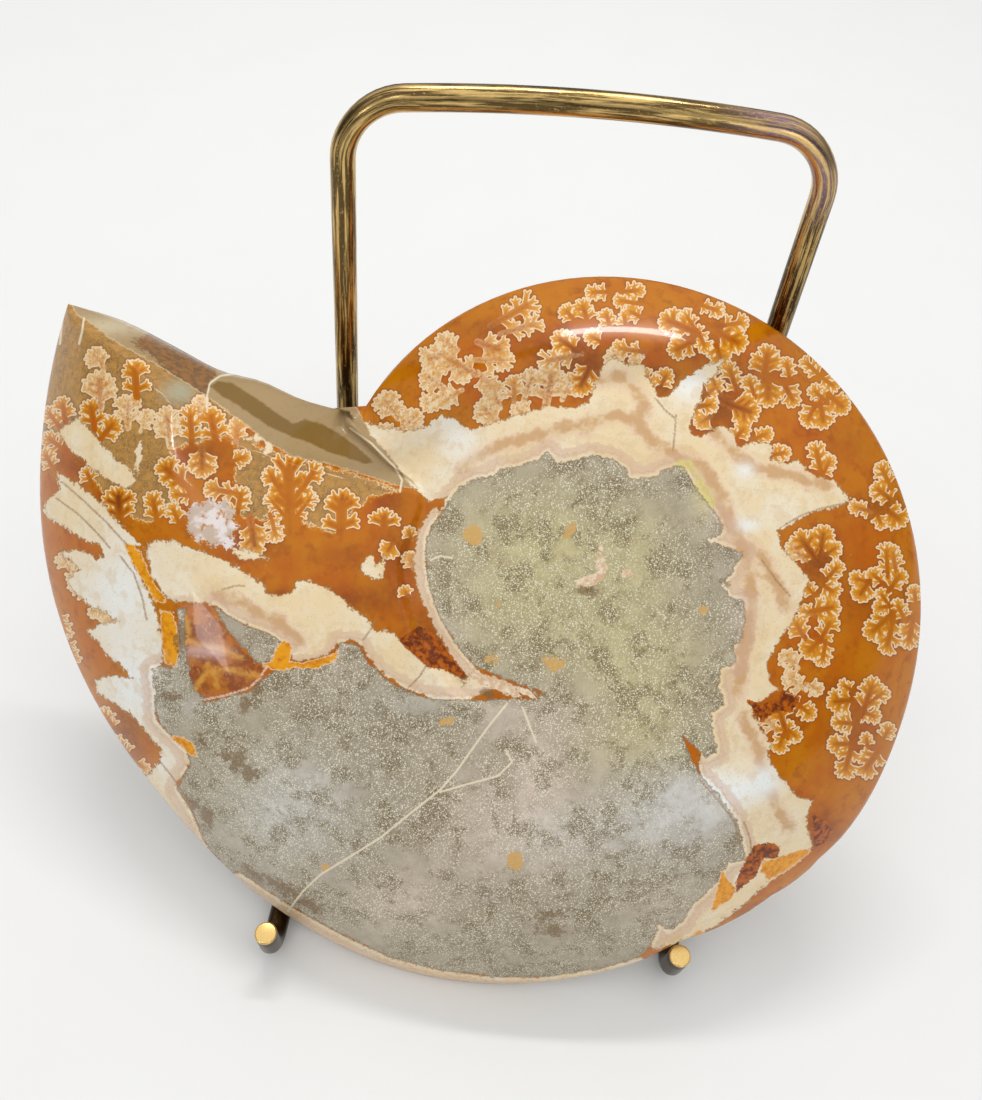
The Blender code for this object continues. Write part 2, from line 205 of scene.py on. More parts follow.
SHELL_LEFT = (
    (58, 472), (68, 478), (85, 490), (100, 502), (115, 520), (128, 532), (140, 545), (126, 548), (136, 566),
    (144, 584), (151, 600), (157, 614), (160, 630), (161, 648), (160, 664), (158, 680), (160, 694), (150, 706),
    (151, 726), (160, 738), (178, 757), (182, 770), (172, 784), (160, 800), (150, 792), (140, 780), (150, 770),
    (152, 757), (143, 745), (135, 732), (122, 715), (108, 705), (95, 695), (93, 682), (110, 678), (128, 680),
    (120, 668), (105, 655), (95, 640), (86, 632), (100, 625), (118, 622), (105, 612), (92, 608), (85, 600),
    (75, 592), (68, 582), (74, 573), (80, 570), (72, 560), (60, 553), (75, 550), (90, 553), (96, 560), (104, 556),
    (100, 545), (84, 540), (66, 528), (52, 520), (43, 512), (46, 500), (60, 490),
)
SHELL_STICK = (
    (66, 424), (76, 419), (86, 425), (98, 440), (112, 455), (126, 467), (137, 480), (128, 488), (112, 482),
    (96, 470), (80, 458), (66, 444), (60, 432),
)
SHELL_SEAM = (
    (436, 508), (424, 520), (417, 538), (414, 560), (416, 582), (424, 606), (437, 633), (451, 656), (466, 675),
    (480, 672), (466, 656), (451, 635), (439, 612), (431, 590), (427, 568), (427, 546), (432, 528), (442, 514),
)
SHELL_NOTCH = (
    (340, 421), (358, 419), (378, 426), (398, 438), (418, 458), (438, 480), (448, 497), (430, 501), (412, 487),
    (395, 470), (378, 453), (362, 438), (350, 430),
)
SHELL_RIM = (
    (152, 780), (166, 796), (182, 820), (196, 848), (223, 880), (236, 875), (262, 890), (300, 912), (345, 936), (392, 957), (440, 969), (482, 975),
    (540, 977), (600, 966), (640, 955), (660, 975), (560, 1010), (480, 1010), (380, 995), (290, 955), (210, 905),
    (140, 840), (110, 790),
)
SHELL_HOOK = (
    (598, 544), (603, 546), (604, 558), (608, 566), (603, 578), (599, 587), (575, 586), (574, 581), (577, 575),
    (590, 577), (595, 566), (598, 556),
)
SHELL_FORK = ((262, 428), (272, 425), (279, 430), (275, 444), (268, 455), (263, 458), (266, 442), (255, 440), (243, 441))
SHELL_SPIKES = ((136, 446), (142, 440), (141, 462), (137, 479), (135, 462))
SHELL_CHIP = ((232, 548), (250, 551), (270, 559), (240, 559))
# Pale patch at the left: broken shell layers with a painted glare over them.
FROST_AND_GLARE = (
    (186, 514), (193, 503), (202, 505), (208, 497), (217, 503), (226, 499), (231, 506), (236, 511), (232, 519), (238, 527),
    (232, 534), (236, 545), (227, 550), (219, 544), (212, 548), (206, 541), (197, 543), (192, 534), (186, 530), (189, 522),
)
SHELL_RING = ((621, 570), (628, 566), (634, 574), (630, 582), (623, 580))
SHELL_BLOB = ((360, 570), (366, 558), (374, 555), (376, 566), (384, 556), (382, 578), (374, 580))
SHELLS = (SHELL_BAND, SHELL_SLAB, SHELL_LEFT, SHELL_STICK, SHELL_SEAM, SHELL_NOTCH, SHELL_RIM, SHELL_FORK,
          SHELL_SPIKES, SHELL_CHIP, SHELL_BLOB)
SHELL_TAIL = ((462, 672), (478, 674), (496, 678), (512, 686), (532, 690), (547, 691), (541, 699), (516, 697), (498, 690), (480, 684))
FLAKES = (SHELL_HOOK, SHELL_RING, SHELL_TAIL)
OLIVE_TIP = (
    (30, 430), (40, 375), (55, 300), (90, 300), (130, 330), (170, 360), (205, 390), (235, 418), (225, 436),
    (205, 440), (180, 446), (170, 452), (178, 470), (190, 486), (172, 500), (150, 522), (138, 520), (124, 512),
    (108, 496), (92, 478), (100, 462), (88, 440), (75, 426), (58, 434),
)
OLIVE_COLUMN = (
    (225, 425), (262, 448), (300, 462), (345, 472), (400, 490), (372, 496), (354, 508), (346, 522), (335, 534),
    (322, 528), (308, 524), (298, 508), (276, 500), (266, 508), (269, 520), (255, 519), (246, 521), (240, 510),
    (248, 498), (244, 488), (235, 482), (236, 468), (246, 460), (238, 448),
)
OLIVES = (OLIVE_TIP, OLIVE_COLUMN)
MOUTH_BAND = (
    (62, 280), (118, 302), (158, 318), (198, 334), (228, 350), (268, 360), (308, 380), (354, 404), (372, 436),
    (395, 462), (412, 488), (392, 484), (350, 470), (322, 462), (292, 456), (262, 438), (240, 420), (215, 402),
    (188, 384), (160, 366), (134, 352), (110, 338), (90, 322), (76, 314),
)
MOUTH_DARK = (
    (132, 342), (148, 334), (168, 322), (200, 334), (224, 354), (216, 374), (209, 386), (206, 396), (190, 388),
    (172, 374), (158, 362), (146, 352),
)
MOUTH_SCALLOP = (
    (210, 386), (218, 381), (232, 383), (246, 392), (262, 402), (278, 414), (294, 424), (304, 419), (322, 424),
    (340, 434), (356, 446), (374, 462), (366, 464), (348, 458), (328, 452), (308, 442), (290, 436), (270, 427),
    (252, 415), (236, 404), (222, 396),
)
RIBBONS = (
    ((124, 543), (134, 545), (143, 558), (150, 576), (160, 592), (166, 602), (156, 602), (146, 586), (134, 566)),
    ((160, 611), (172, 612), (177, 630), (178, 652), (174, 668), (162, 664), (161, 640)),
    ((270, 662), (276, 648), (284, 640), (292, 648), (290, 662), (300, 664), (330, 656), (338, 650), (336, 660),
     (316, 669), (296, 668), (280, 672), (262, 666)),
    ((160, 742), (176, 744), (186, 752), (188, 764), (180, 762), (172, 752)),
    ((722, 868), (728, 880), (736, 888), (732, 898), (722, 905), (711, 913), (714, 898), (719, 884)),
    ((762, 862), (784, 856), (802, 848), (812, 850), (794, 866), (770, 880), (760, 872)),
    ((684, 942), (694, 934), (700, 928), (704, 934), (692, 943)),
)
TRIANGLE = (
    (180, 604), (200, 606), (216, 608), (224, 624), (232, 640), (244, 654), (262, 668), (258, 680), (246, 692),
    (222, 699), (200, 703), (188, 694), (184, 676), (182, 650),
)
TRIANGLE_STREAKS = (
    ((184, 640), (200, 645), (220, 649), (240, 659)),
    ((206, 674), (228, 671), (262, 678)),
    ((190, 694), (200, 680), (206, 666)),
    ((214, 672), (214, 688)),
    ((182, 612), (188, 630), (184, 642)),
)
TRIANGLE_RIM = (
    ((200, 703), (222, 698), (246, 690), (258, 680), (266, 668)),
)
WEDGES = (
    ((398, 640), (420, 625), (440, 640), (455, 662), (470, 678), (462, 679), (444, 669), (428, 667), (415, 655)),
    ((746, 700), (762, 703), (778, 700), (782, 690), (800, 698), (792, 712), (775, 712), (762, 722)),
    ((753, 846), (768, 842), (780, 848), (778, 860), (764, 858), (756, 876), (742, 888), (734, 894), (738, 876)),
    ((812, 812), (826, 822), (834, 830), (822, 846), (814, 848), (812, 830)),
)
SPOTS = (
    (473, 535, 10, 10, 0), (571, 530, 4, 9, 35), (553, 663, 13, 9, 0), (515, 861, 8, 9, 0), (447, 722, 8, 4, -20),
    (607, 717, 9, 3, -25), (325, 868, 4, 3, 0), (493, 660, 8, 5, 0), (600, 637, 5, 2, -60), (703, 610, 5, 4, 0),
    (525, 693, 4, 3, 0), (498, 604, 2, 4, 0),
)
DARK_SPOTS = (
    (547, 915, 17, 4, -6), (552, 930, 15, 5, 4), (184, 812, 9, 5, 30), (198, 824, 7, 12, -15), (232, 765, 7, 14, 20),
    (244, 778, 8, 10, -40), (218, 762, 8, 5, 0), (193, 746, 4, 6, 0), (256, 690, 5, 7, 20), (242, 708, 6, 8, 20),
    (250, 876, 14, 4, 30), (280, 888, 22, 5, 25), (310, 905, 16, 5, 25), (180, 640, 6, 16, 0), (166, 700, 8, 4, 0),
    (521, 666, 5, 3, 0), (465, 680, 4, 4, 0), (488, 694, 7, 5, 0), (588, 592, 13, 5, 0), (725, 583, 4, 3, 0),
)
# Photo's outline lies a little outside the modelled one at the lower left: pixels moved, where and how far round
OUTLINE_SHIFT = (-11.5, 9.5)
OUTLINE_SHIFT_AT = (165.0, 800.0)
OUTLINE_SHIFT_REACH = 105.0
PALE_VEINS = (
    ((545, 692), (510, 700), (492, 722), (475, 745), (456, 772), (440, 790), (412, 812), (380, 838), (348, 858),
     (320, 875), (302, 892), (287, 912)),
    ((440, 792), (468, 784), (498, 776), (512, 762), (506, 750)),
    ((520, 700), (528, 722), (536, 742)),
    ((431, 560), (440, 556), (452, 558)),
    ((207, 412), (207, 396), (210, 383), (220, 376), (238, 373)),
    ((350, 428), (372, 444), (394, 466), (402, 480), (400, 492)),
    ((62, 322), (60, 344)),
    ((84, 318), (82, 332), (79, 344)),
)
TAN_FOLDS = (
    ((462, 468), (480, 455), (505, 444), (540, 434), (580, 426), (618, 414), (640, 426), (655, 446), (678, 456), (702, 466),
     (716, 490), (728, 516), (742, 546), (750, 580), (752, 612), (745, 650), (738, 692)),
    ((604, 380), (624, 378), (640, 394), (645, 414)),
    ((716, 432), (734, 452), (758, 468), (790, 474), (824, 486)),
    ((762, 556), (776, 584), (788, 606)),
    ((744, 716), (758, 752), (768, 790), (788, 826)),
    ((214, 592), (240, 604), (276, 622), (300, 640)),
)
DARK_CRACKS = (
    ((222, 590), (234, 586), (244, 586)),
    ((744, 822), (750, 838), (752, 856)),
    ((363, 640), (372, 628), (376, 618)),
    ((408, 688), (420, 676), (426, 666)),
    ((676, 415), (675, 430), (673, 450)),
    ((780, 528), (800, 516), (822, 508), (846, 503)),
    ((700, 780), (718, 800), (735, 822), (741, 850)),
    ((655, 398), (667, 412), (675, 418)),
    ((62, 482), (84, 501), (106, 522), (128, 546)),
    ((56, 498), (78, 514), (98, 534), (110, 548)),
    ((120, 556), (134, 574), (142, 598), (146, 620)),
    ((150, 770), (160, 784), (176, 808), (190, 836)),
    ((762, 560), (776, 580), (790, 596)),
)

# Soft tints: centre, half sizes in pixels and strength. Warm is tan on shell, mauve on stone and dark on amber.
# Cool is white-blue on shell, pale on stone and golden on amber: partly the nacre's own tint, partly painted sheen and
# painted highlights of the lamps and the bright room.
WARM = (
    (600, 425, 70, 12, 0.9), (660, 455, 40, 14, 0.8), (720, 490, 14, 40, 0.9), (755, 545, 12, 40, 0.6),
    (745, 610, 12, 40, 0.7), (740, 680, 10, 40, 0.5), (520, 445, 40, 9, 0.7), (640, 385, 30, 10, 0.5),
    (690, 450, 14, 10, 0.9), (790, 850, 14, 12, 0.5), (760, 910, 40, 10, 0.5), (165, 575, 14, 12, 0.5),
    (520, 830, 80, 55, 0.9), (400, 900, 50, 30, 0.8), (540, 770, 26, 26, 1.0), (450, 640, 20, 30, 0.2),
    (540, 720, 60, 25, 0.6), (280, 600, 20, 8, 0.8),
    (560, 350, 45, 16, 0.9), (590, 375, 30, 18, 0.8), (490, 330, 30, 10, 0.5), (430, 370, 24, 10, 0.4),
    (700, 345, 30, 16, 0.5), (715, 405, 34, 24, 1.0), (820, 560, 22, 30, 0.9), (870, 600, 26, 30, 0.5),
    (880, 505, 26, 14, 0.7), (775, 715, 20, 16, 0.6), (822, 830, 16, 16, 1.0),
    (850, 730, 26, 30, 0.5), (200, 455, 30, 14, 0.7), (115, 500, 20, 16, 0.8), (80, 465, 20, 14, 0.7),
    (250, 545, 30, 14, 0.8), (340, 600, 60, 14, 0.8), (400, 560, 22, 40, 0.6), (430, 640, 24, 24, 0.7),
    (105, 565, 16, 10, 0.7), (120, 625, 20, 6, 0.7), (120, 740, 20, 36, 0.8), (200, 630, 20, 20, 0.5),
    (390, 500, 20, 14, 0.6), (655, 385, 20, 16, 0.9), (840, 690, 22, 12, 0.5),
    (345, 556, 34, 12, 0.45), (660, 900, 40, 30, 0.5), (330, 660, 60, 20, 0.3), (622, 402, 26, 20, 0.7),
    (850, 445, 30, 20, 0.3),
)
# Cool tints: partly nacre colour, partly painted sheen and painted highlights on the polished face.
COOL_AND_SHEEN = (
    (120, 590, 40, 50, 0.9), (130, 690, 34, 50, 1.0), (155, 770, 16, 24, 0.5), (745, 470, 10, 8, 0.9),
    (748, 525, 14, 8, 0.9), (765, 780, 14, 14, 1.0), (700, 800, 30, 26, 0.8), (740, 790, 26, 16, 0.7),
    (205, 520, 26, 24, 0.8), (285, 810, 66, 56, 0.95), (200, 710, 36, 10, 0.3), (670, 815, 56, 44, 1.0), (420, 700, 60, 20, 0.3),
    (690, 385, 20, 20, 0.9), (200, 652, 26, 7, 0.9), (570, 835, 60, 30, 0.5),
    (520, 305, 40, 10, 0.5), (620, 300, 70, 8, 0.5), (290, 545, 40, 16, 0.5), (315, 545, 8, 8, 0.5),
    (400, 400, 20, 30, 0.5), (850, 640, 20, 50, 0.2), (415, 625, 14, 14, 0.7), (440, 410, 20, 30, 0.4),
    (460, 440, 20, 20, 0.6), (800, 680, 18, 10, 0.6), (112, 326, 40, 10, 1.0), (798, 758, 20, 26, 0.7),
    (870, 670, 20, 30, 0.35), (840, 800, 24, 20, 0.4), (62, 620, 14, 40, 0.5), (850, 420, 40, 30, 0.25),
)
GREEN = (
    (540, 540, 90, 60, 0.9), (520, 620, 80, 50, 0.6), (640, 660, 70, 60, 0.8), (640, 560, 40, 60, 0.5),
    (640, 740, 60, 40, 0.6), (705, 490, 12, 30, 1.0), (685, 465, 12, 6, 1.0), (250, 780, 60, 60, 0.2),
    (450, 700, 20, 8, 0.2), (180, 392, 16, 12, 0.9), (560, 300, 24, 10, 0.6), (805, 880, 12, 10, 0.4),
)

# Suture leaves: foot, tip and width in pixels, and how far they are filled with pale calcite
LEAVES = (
    (137, 398, 134, 362, 24, 0.2), (95, 430, 90, 402, 22, 0.1), (66, 424, 62, 400, 18, 0.2), (60, 428, 47, 410, 14, 0.2),
    (64, 450, 46, 436, 16, 0.2), (98, 442, 116, 420, 20, 0.2), (192, 448, 190, 408, 20, 0.3), (216, 442, 210, 410, 24, 0.4),
    (236, 444, 238, 420, 18, 0.7), (170, 446, 166, 410, 26, 1.0), (100, 408, 100, 374, 32, 1.0), (128, 428, 128, 398, 24, 1.0),
    (104, 368, 92, 352, 20, 0.9), (188, 488, 160, 464, 26, 0.2), (192, 496, 172, 494, 12, 0.3), (158, 526, 152, 494, 20, 0.2),
    (180, 526, 172, 506, 14, 0.5), (92, 484, 86, 470, 16, 0.2), (120, 526, 118, 490, 30, 0.1), (290, 532, 288, 456, 36, 0.1),
    (294, 500, 318, 466, 20, 0.1), (286, 500, 268, 470, 20, 0.1), (294, 520, 313, 494, 14, 0.1), (288, 520, 268, 496, 14, 0.1),
    (341, 540, 342, 492, 34, 0.1), (236, 520, 242, 488, 18, 0.1), (230, 462, 248, 456, 14, 0.4), (54, 470, 44, 452, 14, 0.2),
    (140, 432, 150, 412, 10, 1.0), (384, 530, 384, 515, 26, 0.1), (200, 420, 200, 398, 16, 0.9),
    (250, 518, 256, 552, 26, 0.6), (270, 514, 277, 540, 14, 0.6), (202, 446, 202, 474, 24, 0.6), (240, 494, 206, 488, 18, 0.6),
    (395, 540, 386, 554, 18, 0.5), (412, 540, 408, 530, 10, 0.6), (414, 570, 408, 555, 12, 0.7), (408, 596, 404, 590, 10, 0.6),
    (446, 352, 424, 362, 22, 0.9), (458, 350, 440, 338, 18, 0.9), (476, 374, 442, 356, 26, 0.8), (448, 366, 468, 378, 18, 0.9),
    (444, 388, 424, 374, 22, 0.9), (444, 394, 424, 406, 18, 1.0), (462, 390, 440, 402, 18, 0.9), (478, 342, 504, 352, 26, 0.7),
    (474, 360, 512, 360, 20, 0.8), (478, 372, 494, 390, 18, 0.8), (490, 326, 536, 300, 22, 0.6), (500, 334, 542, 322, 18, 0.7),
    (398, 418, 382, 396, 24, 1.0), (398, 432, 418, 414, 22, 1.0), (392, 446, 380, 428, 22, 1.0), (410, 450, 430, 438, 20, 1.0),
    (500, 408, 492, 384, 20, 0.9), (514, 402, 514, 378, 16, 0.7), (524, 400, 534, 372, 20, 0.9), (546, 406, 552, 368, 28, 0.9),
    (562, 400, 572, 376, 18, 0.9), (500, 424, 480, 404, 24, 1.0), (534, 416, 514, 410, 20, 1.0),
    (578, 352, 556, 336, 22, 0.5), (604, 344, 588, 334, 14, 0.5), (582, 354, 540, 362, 18, 0.7), (592, 362, 578, 392, 24, 0.3),
    (646, 352, 614, 348, 16, 0.6), (576, 322, 564, 308, 14, 0.4), (588, 324, 582, 302, 18, 0.4), (610, 328, 606, 312, 14, 0.3),
    (626, 328, 624, 314, 12, 0.3), (642, 318, 628, 310, 12, 0.4), (612, 292, 588, 292, 12, 0.4), (620, 292, 642, 290, 14, 0.3),
    (642, 304, 616, 300, 10, 0.3), (620, 366, 612, 352, 18, 1.0), (640, 368, 634, 358, 14, 1.0),
    (694, 332, 662, 318, 24, 0.4), (702, 340, 684, 312, 14, 0.3), (694, 340, 672, 352, 22, 0.3), (698, 330, 706, 350, 12, 0.3),
    (714, 330, 744, 346, 26, 0.4), (720, 326, 746, 322, 16, 0.4), (716, 344, 722, 362, 20, 0.4), (698, 304, 722, 312, 10, 0.3),
    (722, 396, 706, 368, 14, 0.6), (738, 394, 728, 364, 18, 0.4), (756, 398, 748, 378, 14, 0.4), (764, 382, 768, 348, 26, 0.4),
    (768, 376, 768, 404, 24, 0.35), (790, 380, 786, 360, 12, 0.3), (784, 384, 795, 404, 18, 0.4), (822, 378, 804, 360, 14, 0.5),
    (820, 376, 836, 388, 12, 0.4), (828, 404, 812, 388, 14, 0.5), (828, 394, 846, 410, 20, 0.5), (816, 404, 806, 424, 18, 0.5),
    (820, 402, 824, 426, 20, 0.5), (686, 408, 716, 404, 18, 0.5), (712, 416, 698, 424, 16, 0.6), (706, 396, 718, 384, 16, 0.6),
    (724, 402, 756, 414, 28, 0.4), (734, 440, 746, 426, 16, 0.5), (752, 440, 770, 432, 14, 0.5), (768, 456, 788, 452, 14, 0.4),
    (822, 476, 815, 444, 18, 0.4), (822, 476, 831, 458, 12, 0.4), (892, 490, 880, 464, 16, 0.4), (894, 502, 874, 486, 18, 0.4),
    (884, 508, 903, 522, 22, 0.5), (872, 512, 852, 506, 12, 0.6), (876, 512, 882, 526, 12, 0.5),
    (818, 562, 798, 534, 26, 0.4), (820, 558, 824, 528, 22, 0.4), (824, 556, 838, 546, 16, 0.4), (806, 560, 790, 544, 18, 0.8),
    (824, 582, 840, 564, 16, 0.4), (822, 584, 836, 594, 16, 0.4), (816, 596, 804, 584, 12, 0.5), (810, 612, 838, 606, 20, 0.4),
    (816, 616, 802, 610, 14, 0.6), (806, 640, 794, 620, 18, 0.6), (820, 642, 832, 618, 18, 0.4), (820, 640, 806, 654, 20, 0.4),
    (826, 640, 822, 664, 14, 0.4), (798, 668, 784, 654, 18, 0.9), (806, 690, 786, 676, 18, 1.0), (806, 684, 820, 690, 14, 0.9),
    (870, 582, 852, 578, 14, 0.4), (870, 580, 858, 598, 20, 0.4), (884, 584, 870, 572, 12, 0.4), (888, 578, 886, 544, 16, 0.5),
    (896, 572, 892, 548, 14, 0.6), (888, 592, 902, 572, 18, 0.5), (888, 604, 880, 592, 12, 0.4), (894, 612, 868, 636, 22, 0.4),
    (894, 616, 886, 652, 20, 0.4), (892, 606, 876, 608, 10, 0.4), (906, 622, 896, 602, 12, 0.4), (914, 614, 908, 646, 20, 0.4),
    (916, 604, 914, 588, 10, 0.4), (854, 700, 830, 702, 22, 0.4), (854, 692, 842, 684, 10, 0.4), (862, 716, 874, 680, 22, 0.4),
    (866, 706, 886, 690, 14, 0.4), (858, 710, 878, 718, 14, 0.4), (858, 724, 834, 722, 16, 0.4), (854, 744, 830, 744, 18, 0.4),
    (852, 744, 844, 776, 20, 0.4), (868, 748, 866, 736, 10, 0.4), (882, 746, 862, 774, 22, 0.4), (882, 742, 890, 726, 12, 0.4),
    (802, 708, 784, 700, 16, 0.4), (798, 704, 812, 716, 16, 0.4), (788, 738, 778, 706, 20, 0.3), (786, 728, 798, 738, 14, 0.3),
    (784, 734, 778, 750, 16, 0.4), (776, 730, 764, 716, 14, 0.8), (80, 580, 60, 556, 16, 1.0), (94, 604, 72, 580, 16, 1.0),
    (104, 604, 92, 614, 14, 1.0), (122, 620, 102, 618, 14, 1.0), (122, 630, 138, 640, 14, 0.8), (58, 610, 66, 638, 12, 0.5),
    (66, 640, 74, 662, 10, 0.5), (110, 735, 98, 714, 12, 0.4), (122, 764, 108, 744, 12, 0.4), (124, 768, 136, 778, 10, 0.6),
    (660, 388, 668, 372, 16, 0.3), (656, 394, 644, 372, 14, 0.6),
)

# What each attribute of the face is measured from: outlines, ellipses, lines and soft tints
REGIONS = {
    "stone_edge": (STONE, STONE_PATCH, STONE_STRIP),
    "shell_edge": SHELLS,
    "olive_edge": OLIVES,
    "mouth_edge": (MOUTH_BAND,),
    "mouth_dark": (MOUTH_DARK,),
    "scallop_edge": (MOUTH_SCALLOP,),
    "ribbon_edge": RIBBONS,
    "triangle_edge": (TRIANGLE,),
    "wedge_edge": WEDGES,
    "frost_and_glare_edge": (FROST_AND_GLARE,),
    "flake_edge": FLAKES,
}
ROUNDS = {"spot_edge": SPOTS, "dark_edge": DARK_SPOTS}
LINES = {"vein": PALE_VEINS, "fold": TAN_FOLDS, "crack": DARK_CRACKS, "streak": TRIANGLE_STREAKS,
         "triangle_rim": TRIANGLE_RIM}
TINTS = {"warm": WARM, "cool_and_sheen": COOL_AND_SHEEN, "green": GREEN}

# The two finer cuts of the face: near which edges, and how near in millimetres
FINER_CUTS = (
    (("stone_edge", "shell_edge", "olive_edge", "leaf_edge", "mouth_edge", "scallop_edge", "ribbon_edge",
      "triangle_edge", "wedge_edge", "spot_edge", "dark_edge", "vein", "crack", "flake_edge", "mouth_line"), 1.3),
    (("leaf_edge", "vein", "crack", "mouth_line"), 0.5),
)


class AmmoniteSettings(bpy.types.PropertyGroup):
    """Colours and sizes of the fossil that a user would change."""

    amber: FloatVectorProperty(name="Amber", description="Calcite of the last whorl", subtype="COLOR",
                               default=(0.50, 0.115, 0.0), min=0.0, max=1.0)
    gold: FloatVectorProperty(name="Gold", description="Clear calcite near the edge", subtype="COLOR",
                              default=(0.58, 0.215, 0.002), min=0.0, max=1.0)
    core: FloatVectorProperty(name="Leaf core", description="Deep part of the suture leaves", subtype="COLOR",
                              default=(0.15, 0.026, 0.003), min=0.0, max=1.0)
    glow: FloatVectorProperty(name="Leaf glow", description="Bright calcite just inside a suture", subtype="COLOR",
                              default=(0.76, 0.34, 0.03), min=0.0, max=1.0)
    line: FloatVectorProperty(name="Suture line", description="Thin line round each leaf", subtype="COLOR",
                              default=(0.86, 0.66, 0.42), min=0.0, max=1.0)
    shell: FloatVectorProperty(name="Shell", description="Plain cream shell", subtype="COLOR",
                               default=(0.85, 0.67, 0.40), min=0.0, max=1.0)
    stone: FloatVectorProperty(name="Stone", description="Grey stone that fills the middle", subtype="COLOR",
                               default=(0.48, 0.42, 0.32), min=0.0, max=1.0)
    olive: FloatVectorProperty(name="Olive", description="Speckled stone between the leaves", subtype="COLOR",
                               default=(0.30, 0.18, 0.06), min=0.0, max=1.0)
    line_width: FloatProperty(name="Line width", description="Half width of a suture line", unit="LENGTH",
                              default=0.095 * MM, min=0.05 * MM, max=0.5 * MM)


class StandSettings(bpy.types.PropertyGroup):
    """Colours and sizes of the stand that a user would change."""

    wire_radius: FloatProperty(name="Wire radius", description="Radius of the round wire", unit="LENGTH",
                               default=1.925 * MM, min=1.0 * MM, max=1.93 * MM)
    brass: FloatVectorProperty(name="Brass", description="Bright metal", subtype="COLOR",
                               default=(0.82, 0.58, 0.22), min=0.0, max=1.0)
    # Dark film on the wire: tarnish, and painted dark reflection.
    tarnish_and_dark_reflection: FloatVectorProperty(name="Tarnish", description="Dark film on the metal", subtype="COLOR",
                                 default=(0.055, 0.032, 0.014), min=0.0, max=1.0)


class StageSettings(bpy.types.PropertyGroup):
    """The plain floor and the light."""

    floor: FloatVectorProperty(name="Floor", description="Colour of the floor", subtype="COLOR",
                               default=(0.86, 0.86, 0.85), min=0.0, max=1.0)
    floor_size: FloatProperty(name="Floor size", description="Width of the floor", unit="LENGTH",
                              default=8.0, min=0.5, max=20.0)
    light: FloatProperty(name="Light", description="Strength of all the lamps", default=1.0, min=0.0, max=5.0)
    sky: FloatProperty(name="Sky", description="Strength of the even light all round", default=1.1, min=0.0, max=5.0)


def smooth(low, high, value):
    """Ease from 0 at low to 1 at high, for arrays."""
    share = np.clip((value - low) / (high - low), 0.0, 1.0)
    return share * share * (3.0 - 2.0 * share)


def line_distance(x, y, line, closed=False):
    """Distance of points to a polyline, which side they lie on and how far along it."""
    places = list(line) + ([line[0]] if closed else [])
    best = np.full(x.shape, np.inf)
    side = np.ones(x.shape)
    along = np.zeros(x.shape)
    for index, ((ax, ay), (bx, by)) in enumerate(zip(places, places[1:])):
        dx, dy = bx - ax, by - ay
        share = np.clip(((x - ax) * dx + (y - ay) * dy) / (dx * dx + dy * dy), 0.0, 1.0)
        distance = np.hypot(x - ax - share * dx, y - ay - share * dy)
        nearer = distance < best
        best = np.where(nearer, distance, best)
        side = np.where(nearer, np.sign(dx * (y - ay) - dy * (x - ax)), side)
        along = np.where(nearer, (index + share) / (len(places) - 1), along)
    return best, side, along


def within(x, y, outline):
    """Whether points lie inside a closed outline."""
    hit = np.zeros(x.shape, bool)
    for (ax, ay), (bx, by) in zip(outline, outline[1:] + outline[:1]):
        if ay == by:
            continue
        crosses = (ay > y) != (by > y)
        hit ^= crosses & (x < ax + (y - ay) * (bx - ax) / (by - ay))
    return hit


def region_distance(x, y, outlines):
    """Distance to the nearest of some outlines, positive inside one of them."""
    best = np.full(x.shape, -np.inf)
    for outline in outlines:
        distance = line_distance(x, y, outline, closed=True)[0]
        best = np.maximum(best, np.where(within(x, y, outline), distance, -distance))
    return best


def ellipse_distance(x, y, ellipses):
    """Rough distance to some ellipses, positive inside one of them."""
    best = np.full(x.shape, -np.inf)
    for cx, cy, half_x, half_y, turn in ellipses:
        angle = math.radians(turn)
        along = (x - cx) * math.cos(angle) + (y - cy) * math.sin(angle)
        across = (y - cy) * math.cos(angle) - (x - cx) * math.sin(angle)
        best = np.maximum(best, (1.0 - np.hypot(along / half_x, across / half_y)) * min(half_x, half_y))
    return best


def soft_tint(x, y, blobs):
    """Sum of soft round tints, held between 0 and 1."""
    total = np.zeros(x.shape)
    for cx, cy, half_x, half_y, strength in blobs:
        total += strength * np.exp(-(((x - cx) / half_x) ** 2 + ((y - cy) / half_y) ** 2))
    return np.clip(total, 0.0, 1.0)


